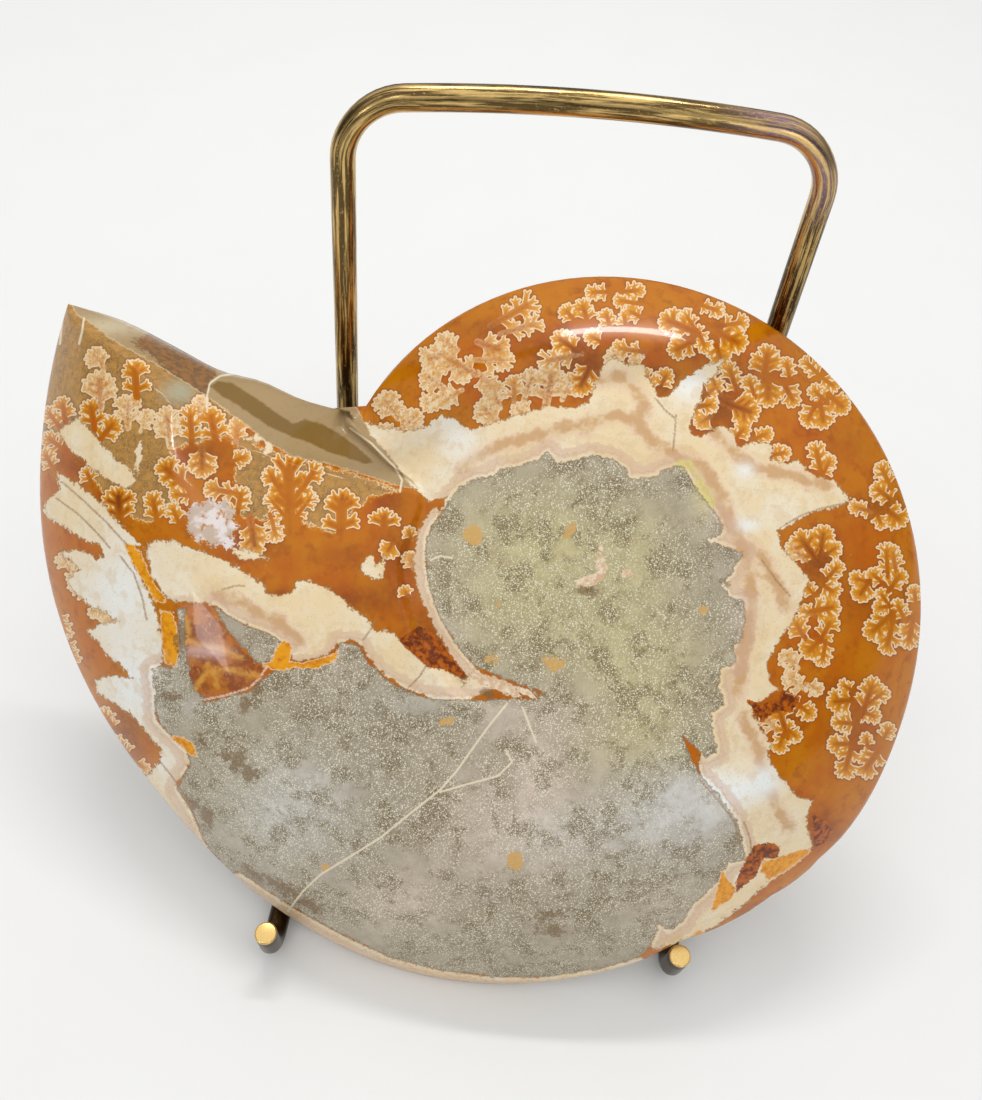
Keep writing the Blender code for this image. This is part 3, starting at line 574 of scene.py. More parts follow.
def leaf_twigs(foot_x, foot_y, tip_x, tip_y, width, draw):
    """Twigs of one suture leaf: start, end, the radii there and how near the tips both lie."""
    foot, tip = np.array((foot_x, foot_y), float), np.array((tip_x, tip_y), float)
    length = np.hypot(*(tip - foot))
    along = (tip - foot) / length
    across = np.array((-along[1], along[0]))
    trunk = max(TRUNK_LEAST, TRUNK_WIDTH * width)
    twigs = [(foot, foot + along * length * TRUNK_LENGTH, trunk * 0.75, trunk, 0.0, 0.6)]

    def lobe(start, heading, reach, radius, fingers):
        """A lobe with small round fingers at its end."""
        end = start + heading * reach
        twigs.append((start, end, radius * 0.8, radius, 0.35, 0.85))
        sideways = np.array((-heading[1], heading[0]))
        for spread in fingers:
            turned = heading * math.cos(spread) + sideways * math.sin(spread)
            finger = radius * draw.uniform(0.95, 1.4) + 1.8
            twigs.append((end, end + turned * finger, radius * 0.72, max(FINGERTIP_LEAST, radius * 0.36), 0.7, 1.0))

    side_fingers = (-0.8, 0.1, 1.0) if width > WIDE_LEAF else (-0.6, 0.7)
    for share in (0.28, 0.6) if length > LONG_LEAF else (0.4,):
        for sign in (-1.0, 1.0):
            jitter = draw.uniform(-0.07, 0.07)
            heading = across * sign + along * draw.uniform(0.3, 0.8)
            heading /= np.hypot(*heading)
            reach = width * 0.36 * draw.uniform(0.75, 1.15)
            lobe(foot + along * length * (share + jitter), heading, reach, trunk * 0.78, side_fingers)
    for spread in (-0.7, 0.0, 0.7):
        angle = spread + draw.uniform(-0.15, 0.15)
        heading = along * math.cos(angle) + across * math.sin(angle)
        reach = max(length * 0.2, width * 0.2) * draw.uniform(0.85, 1.1)
        lobe(foot + along * length * 0.74, heading, reach, trunk * 0.66, (-0.55, 0.5))
    return twigs


def leaf_distance(x, y, leaves, seed):
    """Distance to the nearest suture leaf, positive inside, that leaf's filling and the reach to its tips."""
    best = np.full(x.shape, -FAR)
    filling, tips = np.zeros(x.shape), np.zeros(x.shape)
    draw = np.random.default_rng(seed)
    for foot_x, foot_y, tip_x, tip_y, width, fill in leaves:
        margin = width + LEAF_MARGIN
        near = ((x > min(foot_x, tip_x) - margin) & (x < max(foot_x, tip_x) + margin)
                & (y > min(foot_y, tip_y) - margin) & (y < max(foot_y, tip_y) + margin))
        here = np.full(np.count_nonzero(near), -np.inf)
        reach = np.zeros(here.shape)
        near_x, near_y = x[near], y[near]
        for start, end, first, last, low, high in leaf_twigs(foot_x, foot_y, tip_x, tip_y, width, draw):
            dx, dy = end - start
            off_x, off_y = near_x - start[0], near_y - start[1]
            share = np.clip((off_x * dx + off_y * dy) / (dx * dx + dy * dy), 0.0, 1.0)
            distance = first + (last - first) * share - np.hypot(off_x - share * dx, off_y - share * dy)
            reach = np.where(distance > here, low + (high - low) * share, reach)
            here = np.maximum(here, distance)
        nearer = here > best[near]
        filling[near] = np.where(nearer, fill, filling[near])
        tips[near] = np.where(nearer, reach, tips[near])
        best[near] = np.maximum(best[near], here)
    return best, filling, tips


def smooth_line(places):
    """A smooth curve through a few points."""
    knots = [np.array(place, float) for place in places]
    knots = [knots[0] * 2.0 - knots[1]] + knots + [knots[-1] * 2.0 - knots[-2]]
    line = []
    for index in range(1, len(knots) - 2):
        a, b, c, d = knots[index - 1:index + 3]
        for step in range(LINE_STEPS):
            t = step / LINE_STEPS
            line.append(tuple(0.5 * (2.0 * b + (c - a) * t + (2.0 * a - 5.0 * b + 4.0 * c - d) * t ** 2
                                     + (3.0 * b - a - 3.0 * c + d) * t ** 3)))
    line.append(tuple(knots[-2]))
    return line


def spiral_rim():
    """Points of the unchipped spiral rim, from the notch round to the tip."""
    sweep = np.linspace(0.0, SPIRAL_SWEEP, SPIRAL_STEPS)
    radius = SPIRAL_START_RADIUS * np.exp(SPIRAL_GROWTH * sweep)
    for place, height, half_width in RIM_WAVES:
        radius += height * np.exp(-((np.degrees(sweep) - place) / half_width) ** 2)
    angle = SPIRAL_START_ANGLE - sweep
    return list(zip(radius * np.cos(angle), radius * np.sin(angle)))


def face_thickness(x, y):
    """Thickness of the fossil over points of its face, and how far they are from any edge and from the mouth."""
    rim = spiral_rim()
    mouth = smooth_line(MOUTH_EDGE + (rim[-1],))
    crease = smooth_line(MOUTH_CREASE)
    seam = smooth_line(WHORL_SEAM)
    join = seam[:JOIN_SPANS * LINE_STEPS + 1]
    to_rim = line_distance(x, y, rim)[0]
    slack = 1.0 - np.minimum(to_rim / CROWN_REACH, 1.0)
    full = RIM_THICKNESS + (CROWN_THICKNESS - RIM_THICKNESS) * (1.0 - slack ** CROWN_FULLNESS)
    to_seam, side, along = line_distance(x, y, seam)
    lapped = smooth(-SEAM_STEP_WIDTH, SEAM_STEP_WIDTH, -side * to_seam)
    full += SEAM_STEP * lapped * (1.0 - smooth(SEAM_FADE_FROM, 1.0, along)) * np.exp(-to_seam / SEAM_STEP_REACH)
    for cx, cy, half_length, half_width, depth, turn in PITS:
        angle = math.radians(turn)
        over = (x - cx) * math.cos(angle) + (y - cy) * math.sin(angle)
        across = (y - cy) * math.cos(angle) - (x - cx) * math.sin(angle)
        full -= depth * np.exp(-(over / half_length) ** 2 - (across / half_width) ** 2)
    to_mouth = line_distance(x, y, mouth)[0]
    to_crease = line_distance(x, y, crease)[0]
    to_join = line_distance(x, y, join)[0]
    share = (to_mouth / np.maximum(to_mouth + to_crease, 1e-6)) ** MOUTH_BAND_FULLNESS
    share = np.maximum(share, 1.0 - to_join / JOIN_BLEND)
    band = within(x, y, mouth + crease + join[::-1]) | (to_mouth < ON_MOUTH)
    thickness = np.where(band, RIM_THICKNESS + (full - RIM_THICKNESS) * share, full)
    to_edge = np.minimum(to_rim, to_mouth)
    return thickness - EDGE_ROUND * np.exp(-to_edge / EDGE_ROUND_REACH), to_edge, to_mouth


def camera_axes():
    """The camera's right, up and forward directions."""
    forward = Vector((math.sin(CAMERA_YAW) * math.cos(CAMERA_PITCH), math.cos(CAMERA_YAW) * math.cos(CAMERA_PITCH),
                      -math.sin(CAMERA_PITCH)))
    level = Vector((math.cos(CAMERA_YAW), -math.sin(CAMERA_YAW), 0.0))
    upright = level.cross(forward)
    right = level * math.cos(CAMERA_ROLL) + upright * math.sin(CAMERA_ROLL)
    up = upright * math.cos(CAMERA_ROLL) - level * math.sin(CAMERA_ROLL)
    return right, up, forward


def photo_place(places):
    """Pixels of the photograph at which places in the row frame are seen."""
    right, up, forward = camera_axes()
    offset = places - np.array(CAMERA_PLACE)
    depth = offset @ np.array(forward)
    across = PHOTO_CENTRE[0] + FOCAL_PIXELS * (offset @ np.array(right)) / depth
    down = PHOTO_CENTRE[1] - FOCAL_PIXELS * (offset @ np.array(up)) / depth
    return across, down


def face_markings(face):
    """Distances and tints of every marking, for points in the fossil's own frame in millimetres."""
    thickness, to_edge, to_mouth = face_thickness(face[:, 0], face[:, 1])
    lifted = face.copy()
    lifted[:, 2] = np.maximum(face[:, 2], RIM_THICKNESS - EDGE_ROUND)
    turn = np.array(FOSSIL_TURN.to_matrix())
    x, y = photo_place(lifted * MM @ turn.T + np.array(FOSSIL_PLACE))
    away = np.hypot(x - OUTLINE_SHIFT_AT[0], y - OUTLINE_SHIFT_AT[1]) / OUTLINE_SHIFT_REACH
    x, y = (place + shift * np.exp(-away ** 2) for place, shift in zip((x, y), OUTLINE_SHIFT))
    leaf, leaf_fill, leaf_tips = leaf_distance(x, y, LEAVES, LEAF_SEED)
    marks = {"leaf_edge": leaf}
    for name, outlines in REGIONS.items():
        marks[name] = region_distance(x, y, outlines)
    for name, ellipses in ROUNDS.items():
        marks[name] = ellipse_distance(x, y, ellipses)
    for name, lines in LINES.items():
        marks[name] = np.min([line_distance(x, y, line)[0] for line in lines], axis=0)
    for name in marks:
        marks[name] = np.clip(marks[name], -FAR, FAR) / PIXELS_PER_MM
    for name, blobs in TINTS.items():
        marks[name] = soft_tint(x, y, blobs)
    marks.update(leaf_fill=leaf_fill, leaf_tips=leaf_tips, rim=to_edge, mouth_line=to_mouth)
    return thickness, marks


def face_places(model):
    """Places of a mesh's points in millimetres."""
    return np.array([vertex.co for vertex in model.verts]) / MM


def cut_near_edges(model, top, reach, names):
    """Halve the edges of the face that lie near one of some markings' edges."""
    marks = face_markings(face_places(model))[1]
    nearest = np.min([np.abs(marks[name]) for name in names], axis=0)
    near = {vertex for vertex, distance in zip(model.verts, nearest) if distance < reach}
    edges = [edge for edge in model.edges
             if (edge.verts[0] in near or edge.verts[1] in near) and min(v.co.z for v in edge.verts) > top]
    bmesh.ops.subdivide_edges(model, edges=edges, cuts=1, use_grid_fill=True)
    bmesh.ops.triangulate(model, faces=[face for face in model.faces if 3 < len(face.verts) < 8])


def build_ammonite(settings):
    """The fossil: a merged and finely cut copy of its solid, with the markings as attributes."""
    model = bmesh.new()
    model.from_mesh(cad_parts["ammonite_half"].data)
    bmesh.ops.remove_doubles(model, verts=model.verts, dist=SAME_POINT * MM)
    bmesh.ops.transform(model, matrix=FOSSIL_MATRIX.inverted(), verts=model.verts)
    back = [face for face in model.faces if max(vertex.co.z for vertex in face.verts) < SAWN_LEVEL * MM]
    bmesh.ops.dissolve_faces(model, faces=back)
    bmesh.ops.subdivide_edges(model, edges=model.edges, cuts=FIRST_CUTS, use_grid_fill=True)
    for names, reach in FINER_CUTS:
        cut_near_edges(model, (RIM_THICKNESS - CUT_BELOW_RIM) * MM, reach, names)
    bmesh.ops.triangulate(model, faces=[face for face in model.faces if len(face.verts) > 3])
    face = face_places(model)
    on_top = face[:, 2] > RIM_THICKNESS - MOVED_BELOW_RIM
    thickness = face_markings(face)[0]
    face[on_top, 2] = thickness[on_top]
    marks = face_markings(face)[1]
    for vertex, place in zip(model.verts, face):
        vertex.co = Vector(place) * MM
    mesh = bpy.data.meshes.new("ammonite")
    bmesh.ops.transform(model, matrix=FOSSIL_MATRIX, verts=model.verts)
    for polygon in model.faces:
        polygon.smooth = True
    model.to_mesh(mesh)
    model.free()
    mesh.set_sharp_from_angle(angle=FOSSIL_SHARP_ANGLE)
    add_attribute(mesh, "face_place", "FLOAT_VECTOR", "vector", face)
    for name, values in marks.items():
        add_attribute(mesh, name, "FLOAT", "value", values)
    ammonite = bpy.data.objects.new("ammonite", mesh)
    bpy.context.scene.collection.objects.link(ammonite)
    mesh.materials.append(polished_face_material(settings))
    mesh.materials.append(sawn_back_material(settings))
    sawn = np.array([all(face[index, 2] < SAWN_LEVEL for index in polygon.vertices) for polygon in mesh.polygons])
    mesh.polygons.foreach_set("material_index", sawn.astype(np.int32))
    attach(ammonite, "root")
    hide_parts("ammonite_half")


def add_attribute(mesh, name, kind, field, values):
    """Store one value for each point of a mesh."""
    attribute = mesh.attributes.new(name, kind, "POINT")
    attribute.data.foreach_set(field, np.ascontiguousarray(values, np.float32).ravel())


class Graph:
    """Short calls that add shader nodes to a tree and join them."""

    def __init__(self, tree):
        self.tree = tree

    def set(self, socket, value):
        """Link a socket, or write a plain value to it. A colour is given without its alpha."""
        if isinstance(value, bpy.types.NodeSocket):
            self.tree.links.new(value, socket)
        elif socket.type == "RGBA":
            socket.default_value = (*value, 1.0)
        else:
            socket.default_value = value

    def math(self, operation, *values, clamp=False):
        """A math node."""
        node = self.tree.nodes.new("ShaderNodeMath")
        node.operation = operation
        node.use_clamp = clamp
        for socket, value in zip(node.inputs, values):
            self.set(socket, value)
        return node.outputs[0]

    def times(self, first, second, clamp=False):
        """A product."""
        return self.math("MULTIPLY", first, second, clamp=clamp)

    def step(self, value, low, high, start=0.0, end=1.0):
        """A smooth step of a value."""
        node = self.tree.nodes.new("ShaderNodeMapRange")
        node.interpolation_type = "SMOOTHSTEP"
        for socket, item in zip(node.inputs, (value, low, high, start, end)):
            self.set(socket, item)
        return node.outputs[0]

    def blend(self, share, first, second, kind="MIX"):
        """A mix of two colours."""
        node = self.tree.nodes.new("ShaderNodeMix")
        node.data_type = "RGBA"
        node.blend_type = kind
        self.set(node.inputs["Factor"], share)
        self.set(node.inputs[COLOUR_A], first)
        self.set(node.inputs[COLOUR_B], second)
        return node.outputs[MIXED_COLOUR]

    def noise(self, place, scale, detail, roughness):
        """Plain noise between 0 and 1."""
        node = self.tree.nodes.new("ShaderNodeTexNoise")
        self.set(node.inputs["Vector"], place)
        node.inputs["Scale"].default_value = scale
        node.inputs["Detail"].default_value = detail
        node.inputs["Roughness"].default_value = roughness
        return node.outputs["Fac"]

    def grains(self, place, scale):
        """Round grains: the distance to the nearest middle, and a value that differs from grain to grain."""
        node = self.tree.nodes.new("ShaderNodeTexVoronoi")
        self.set(node.inputs["Vector"], place)
        node.inputs["Scale"].default_value = scale
        return node.outputs["Distance"], node.outputs["Color"]

    def attribute(self, name, output="Fac"):
        """A value stored on the mesh."""
        node = self.tree.nodes.new("ShaderNodeAttribute")
        node.attribute_name = name
        return node.outputs[output]

    def ramp(self, value, stops):
        """A colour ramp with its stops."""
        node = self.tree.nodes.new("ShaderNodeValToRGB")
        elements = node.color_ramp.elements
        while len(elements) < len(stops):
            elements.new(0.5)
        for element, (position, colour) in zip(elements, stops):
            element.position = position
            element.color = (*colour, 1.0)
        self.set(node.inputs["Fac"], value)
        return node.outputs["Color"]

    def group(self, tree, **values):
        """A node group with its inputs."""
        node = self.tree.nodes.new("ShaderNodeGroup")
        node.node_tree = tree
        for name, value in values.items():
            self.set(node.inputs[name], value)
        return node

    def bump(self, shader, height, strength, distance):
        """Give a shader a normal from a height, with the distance in millimetres."""
        node = self.tree.nodes.new("ShaderNodeBump")
        node.inputs["Strength"].default_value = strength
        node.inputs["Distance"].default_value = distance * MM
        self.set(node.inputs["Height"], height)
        self.set(shader.inputs["Normal"], node.outputs["Normal"])


def new_group(name, inputs, outputs):
    """An empty shader group with named sockets, and its input and output nodes."""
    tree = bpy.data.node_groups.new(name, "ShaderNodeTree")
    for label, kind in inputs:
        tree.interface.new_socket(label, in_out="INPUT", socket_type=kind)
    for label, kind in outputs:
        tree.interface.new_socket(label, in_out="OUTPUT", socket_type=kind)
    return tree, tree.nodes.new("NodeGroupInput"), tree.nodes.new("NodeGroupOutput")


def speckle_group():
    """Speckled stone: pale and dark grains over two tones."""
    name = "Speckled stone"
    if name in bpy.data.node_groups:
        return bpy.data.node_groups[name]
    tree, given, made = new_group(
        name,
        (("Place", "NodeSocketVector"), ("Base", "NodeSocketColor"), ("Pale grain", "NodeSocketColor"),
         ("Dark grain", "NodeSocketColor"), ("Pale amount", "NodeSocketFloat"), ("Dark amount", "NodeSocketFloat")),
        (("Color", "NodeSocketColor"), ("Height", "NodeSocketFloat")),
    )
    graph = Graph(tree)
    place = given.outputs["Place"]
    coarse = graph.noise(place, 0.35, 2.0, 0.6)
    patch = graph.noise(place, 0.11, 4.0, 0.65)
    brown = graph.noise(place, 0.24, 3.0, 0.7)
    grainy = graph.step(patch, 0.34, 0.52, 0.12, 1.0)
    cloud = graph.ramp(coarse, ((0.3, (0.8, 0.78, 0.76)), (0.7, (1.0, 1.0, 1.0))))
    base = graph.blend(1.0, given.outputs["Base"], cloud, "MULTIPLY")
    base = graph.blend(graph.times(grainy, 0.22), base, given.outputs["Dark grain"])
    big, big_chance = graph.grains(place, 3.0)
    small, small_chance = graph.grains(place, 5.0)
    between = graph.times(graph.step(small, 0.34, 0.5), graph.step(brown, 0.47, 0.6, 0.12, 1.0))
    dark = graph.times(graph.times(between, grainy), given.outputs["Dark amount"])
    base = graph.blend(dark, base, given.outputs["Dark grain"])
    dots = graph.times(graph.step(big, 0.24, 0.46, 1.0, 0.0), graph.step(big_chance, 0.42, 0.48))
    specks = graph.times(graph.step(small, 0.24, 0.44, 1.0, 0.0), graph.step(small_chance, 0.44, 0.5, 0.0, 0.85))
    pale = graph.times(graph.math("MAXIMUM", dots, specks), given.outputs["Pale amount"])
    pale = graph.times(pale, grainy)
    base = graph.blend(pale, base, given.outputs["Pale grain"])
    graph.set(made.inputs["Color"], base)
    graph.set(made.inputs["Height"], graph.math("SUBTRACT", pale, dark))
    return tree


def polish_group():
    """Fine scratches and dulling that lie on every polished surface."""
    name = "Polish marks"
    if name in bpy.data.node_groups:
        return bpy.data.node_groups[name]
    tree, given, made = new_group(
        name,
        (("Place", "NodeSocketVector"), ("Roughness", "NodeSocketFloat"), ("Wear", "NodeSocketFloat")),
        (("Roughness", "NodeSocketFloat"), ("Height", "NodeSocketFloat")),
    )
    graph = Graph(tree)
    cloud = graph.noise(given.outputs["Place"], 0.25, 1.0, 0.6)
    scratch = graph.noise(given.outputs["Place"], 1.4, 3.0, 0.75)
    worn = graph.times(graph.math("ADD", cloud, scratch), given.outputs["Wear"])
    graph.set(made.inputs["Roughness"], graph.math("ADD", given.outputs["Roughness"], worn, clamp=True))
    graph.set(made.inputs["Height"], scratch)
    return tree


def new_material(name):
    """An empty material with its Principled shader."""
    material = bpy.data.materials.new(name)
    material.use_nodes = True
    return material, Graph(material.node_tree), material.node_tree.nodes["Principled BSDF"]


def polished_face_material(settings):
    """Amber calcite, cream shell and grey stone, each laid where its marking says."""
    material, graph, shader = new_material("polished ammonite face")
    place = graph.attribute("face_place", "Vector")
    mark = {name: graph.attribute(name)
            for name in (*REGIONS, *ROUNDS, *LINES, *TINTS, "leaf_edge", "leaf_fill", "leaf_tips", "rim")}
    half_line = settings.line_width / MM
    jag = graph.math("SUBTRACT", graph.noise(place, 0.9, 3.0, 0.6), 0.5)
    fine = graph.math("SUBTRACT", graph.noise(place, 2.6, 2.0, 0.6), 0.5)
    mottle = graph.noise(place, 0.16, 3.0, 0.6)
    small = graph.noise(place, 0.9, 3.0, 0.65)
    cloudy = graph.noise(place, 0.42, 3.0, 0.6)

    def ragged(name, coarse_share, fine_share):
        """A marking's distance with a ragged edge."""
        shaken = graph.math("MULTIPLY_ADD", jag, coarse_share, mark[name])
        return graph.math("MULTIPLY_ADD", fine, fine_share, shaken)

    def cover(value, softness=0.05):
        """1 inside a marking."""
        return graph.step(value, -softness, softness)

    def line(value, half_width):
        """1 on a marking's edge."""
        return graph.step(graph.math("ABSOLUTE", value), half_width * 0.6, half_width * 1.4, 1.0, 0.0)

    amber = graph.blend(graph.step(mottle, 0.35, 0.65, 0.0, 0.5), settings.amber, settings.gold)
    amber = graph.blend(graph.step(mark["rim"], 0.0, 9.0, 0.45, 0.0), amber, settings.gold)
    # Painted highlight, partly golden calcite: amber turns gold under the cool tint, as at the pale glare on the left.
    amber = graph.blend(graph.times(mark["cool_and_sheen"], 0.8), amber, settings.gold)
    dark_share = graph.times(mark["warm"], graph.step(small, 0.25, 0.6, 0.45, 1.0))
    amber = graph.blend(graph.times(dark_share, 0.75), amber, settings.core)
    amber = graph.blend(graph.step(cloudy, 0.48, 0.74, 0.0, 0.5), amber, (0.28, 0.05, 0.001))
    amber = graph.blend(graph.step(small, 0.62, 0.8, 0.0, 0.35), amber, (0.62, 0.34, 0.06))

    olive_edge = ragged("olive_edge", 3.0, 1.2)
    speck = graph.group(speckle_group(), **{
        "Place": place, "Base": settings.olive, "Pale grain": (0.50, 0.38, 0.18), "Dark grain": (0.085, 0.045, 0.015),
        "Pale amount": 0.75, "Dark amount": 0.9})
    tip_tan = graph.blend(graph.step(small, 0.3, 0.7, 0.25, 0.75), speck.outputs["Color"], (0.62, 0.31, 0.07))
    tip_tan = graph.blend(mark["green"], tip_tan, (0.42, 0.42, 0.30))
    lit = graph.times(graph.step(olive_edge, -0.7, -0.05, 0.0, 0.7), graph.step(olive_edge, 0.0, 0.1, 1.0, 0.0))
    colour = graph.blend(lit, amber, settings.glow)
    colour = graph.blend(cover(olive_edge, 0.06), colour, tip_tan)
    colour = graph.blend(graph.times(line(olive_edge, half_line), 0.85), colour, settings.line)

    leaf = ragged("leaf_edge", 0.0, 0.16)
    tips = mark["leaf_tips"]
    glow_width = graph.math("MULTIPLY_ADD", mark["leaf_fill"], 0.8, 0.75)
    glow = graph.math("SUBTRACT", 1.0, graph.math("DIVIDE", leaf, glow_width), clamp=True)
    glow = graph.times(glow, graph.math("MULTIPLY_ADD", tips, 0.9, 0.05), clamp=True)
    inside = graph.ramp(glow, ((0.0, (0.44, 0.11, 0.001)), (0.4, (0.58, 0.20, 0.006)), (0.8, settings.glow),
                               (1.0, (0.80, 0.44, 0.10))))
    inside = graph.blend(graph.step(glow, 0.0, 0.5), amber, inside)
    dark_inside = graph.times(graph.step(leaf, 0.3, 1.0, 0.0, 0.7), graph.math("MULTIPLY_ADD", mark["warm"], 0.8, 0.2))
    inside = graph.blend(dark_inside, inside, settings.core)
    pale = graph.blend(graph.step(small, 0.4, 0.62), (0.84, 0.66, 0.40), (0.72, 0.44, 0.18))
    clear = graph.step(graph.noise(place, 1.9, 3.0, 0.7), 0.5, 0.6, 1.0, 0.25)
    clear = graph.times(clear, graph.step(leaf, 0.3, 0.8, 1.0, 0.4))
    filled = graph.times(graph.step(mark["leaf_fill"], 0.5, 1.0, 0.0, 0.95), clear)
    inside = graph.blend(filled, inside, pale)
    shade = graph.times(graph.step(leaf, -0.5, -0.08, 0.0, 0.5), tips)
    colour = graph.blend(shade, colour, settings.core)
    colour = graph.blend(cover(leaf), colour, inside)
    width = graph.times(graph.math("MULTIPLY_ADD", tips, 0.5, 0.6), half_line)
    rimmed = graph.math("DIVIDE", graph.math("ABSOLUTE", leaf), width)
    rimmed = graph.step(rimmed, 0.6, 1.5, 1.0, 0.0)
    colour = graph.blend(graph.times(rimmed, graph.step(tips, 0.1, 0.6, 0.0, 1.0)), colour, settings.line)

    triangle = ragged("triangle_edge", 1.2, 0.7)
    mauve = graph.blend(graph.step(cloudy, 0.4, 0.62), (0.28, 0.07, 0.015), (0.50, 0.16, 0.02))
    mauve = graph.blend(graph.step(small, 0.58, 0.7, 0.0, 0.6), mauve, (0.70, 0.38, 0.10))
    streak = graph.math("MULTIPLY_ADD", jag, 1.6, mark["streak"])
    mauve = graph.blend(graph.step(streak, 0.0, 0.9, 0.8, 0.0), mauve, (0.72, 0.36, 0.06))
    # Painted highlight: pale pink laid over the triangle under the cool tint.
    mauve = graph.blend(graph.times(mark["cool_and_sheen"], 0.6), mauve, (0.80, 0.60, 0.56))
    colour = graph.blend(cover(triangle), colour, mauve)
    # The pale patch: shell layers and a painted glare, white-mauve with darker flecks.
    frost_and_glare = graph.times(cover(ragged("frost_and_glare_edge", 1.8, 2.6), 0.12), graph.step(small, 0.56, 0.66, 1.0, 0.15))
    frost_and_glare_colour = graph.blend(graph.step(cloudy, 0.42, 0.6), (0.86, 0.84, 0.84), (0.62, 0.52, 0.42))
    colour = graph.blend(graph.times(frost_and_glare, 0.85), colour, frost_and_glare_colour)

    layers = graph.math("MULTIPLY_ADD", small, 1.6, mark["stone_edge"])
    bands = graph.ramp(graph.math("MULTIPLY_ADD", layers, 0.16, 0.86), (
        (0.0, settings.shell), (0.34, settings.shell), (0.52, (0.78, 0.54, 0.30)), (0.64, (0.86, 0.70, 0.46)),
        (0.76, (0.72, 0.47, 0.27)), (0.86, (0.80, 0.62, 0.46)), (0.95, (0.68, 0.50, 0.40)), (1.0, (0.50, 0.36, 0.24))))
    plain = graph.blend(graph.step(mottle, 0.35, 0.7), settings.shell, (0.87, 0.77, 0.58))
    plain = graph.blend(graph.step(small, 0.45, 0.75, 0.0, 0.5), plain, (0.76, 0.58, 0.34))
    shell = graph.blend(mark["warm"], plain, bands)
    fold = graph.math("MULTIPLY_ADD", graph.math("SUBTRACT", cloudy, 0.5), 5.0, mark["fold"])
    shell = graph.blend(graph.step(fold, 0.1, 1.9, 0.9, 0.0), shell, (0.62, 0.36, 0.17))
    beside_fold = graph.math("ABSOLUTE", graph.math("SUBTRACT", fold, 1.4))
    shell = graph.blend(graph.step(beside_fold, 0.1, 0.4, 0.6, 0.0), shell, (0.84, 0.62, 0.46))
    # Under the cool tint the shell turns white-blue: partly the nacre's tint, partly painted sheen and highlights.
    shell = graph.blend(mark["cool_and_sheen"], shell, (0.88, 0.89, 0.86))
    near_stone = graph.step(layers, -1.7, -1.2)
    shell = graph.blend(graph.times(near_stone, graph.step(layers, -0.1, 0.4, 0.5, 0.0)), shell, (0.66, 0.42, 0.30))
    gleam = graph.times(graph.step(mark["green"], 0.2, 0.7, 0.0, 0.85), graph.step(layers, -1.3, -0.8))
    shell = graph.blend(gleam, shell, (0.72, 0.62, 0.20))
    growth = graph.math("SINE", graph.math("MULTIPLY_ADD", small, 14.0, graph.times(mark["stone_edge"], 5.0)))
    layered = graph.times(graph.step(mark["stone_edge"], -5.0, -0.5, 0.0, 0.45), graph.step(growth, 0.3, 1.0))
    shell = graph.blend(layered, shell, (0.60, 0.42, 0.25))
    shell = graph.blend(graph.step(cloudy, 0.5, 0.66, 0.0, 0.4), shell, (0.72, 0.53, 0.30))
    pore, pore_chance = graph.grains(place, 2.2)
    pores = graph.times(graph.step(pore, 0.12, 0.26, 0.6, 0.0), graph.step(pore_chance, 0.5, 0.54))
    shell = graph.blend(pores, shell, (0.50, 0.42, 0.30))
    shell_edge = ragged("shell_edge", 2.2, 1.0)
    colour = graph.blend(graph.step(shell_edge, -0.5, 0.0, 0.0, 0.5), colour, (0.30, 0.13, 0.03))
    colour = graph.blend(cover(shell_edge), colour, shell)
    colour = graph.blend(graph.times(line(shell_edge, 0.14), 0.5), colour, (0.46, 0.28, 0.12))

    wedge = ragged("wedge_edge", 1.3, 0.9)
    colour = graph.blend(cover(wedge), colour, graph.blend(graph.step(small, 0.4, 0.62), settings.core, settings.amber))

    mouth = graph.blend(mark["cool_and_sheen"], (0.42, 0.29, 0.14), (0.62, 0.51, 0.33))
    mouth = graph.blend(graph.step(small, 0.5, 0.7, 0.0, 0.35), mouth, (0.36, 0.22, 0.09))
    mouth = graph.blend(cover(ragged("mouth_dark", 2.0, 0.8), 0.3), mouth,
                        graph.blend(graph.step(small, 0.4, 0.6), (0.34, 0.16, 0.05), (0.20, 0.11, 0.05)))
    mouth = graph.blend(graph.times(cover(ragged("scallop_edge", 0.6, 0.1), 0.25), 0.85), mouth, (0.20, 0.105, 0.012))
    mouth_edge = ragged("mouth_edge", 1.2, 0.5)
    colour = graph.blend(cover(mouth_edge), colour, mouth)
    colour = graph.blend(graph.times(line(mouth_edge, 0.13), 0.6), colour, (0.70, 0.52, 0.30))

    stone_tone = graph.blend(mark["green"], settings.stone, (0.72, 0.64, 0.34))
    stone_tone = graph.blend(graph.times(mark["warm"], 0.8), stone_tone, (0.86, 0.72, 0.61))
    # Painted sheen: the stone turns pale grey under the cool tint, where the bright room reflects in the polish.
    stone_tone = graph.blend(graph.times(mark["cool_and_sheen"], 0.8), stone_tone, (0.82, 0.82, 0.80))
    grains = graph.group(speckle_group(), **{
        "Place": place, "Base": stone_tone, "Pale grain": (0.88, 0.84, 0.66), "Dark grain": (0.17, 0.12, 0.05),
        "Pale amount": 0.85, "Dark amount": 0.7})
    stone_edge = ragged("stone_edge", 1.6, 0.8)
    colour = graph.blend(cover(stone_edge), colour, grains.outputs["Color"])
    colour = graph.blend(graph.times(line(stone_edge, 0.16), 0.55), colour, (0.24, 0.17, 0.10))

    flake = ragged("flake_edge", 0.7, 0.6)
    flaked = graph.blend(graph.step(small, 0.4, 0.6), (0.86, 0.72, 0.54), (0.70, 0.46, 0.28))
    colour = graph.blend(cover(flake, 0.08), colour, flaked)

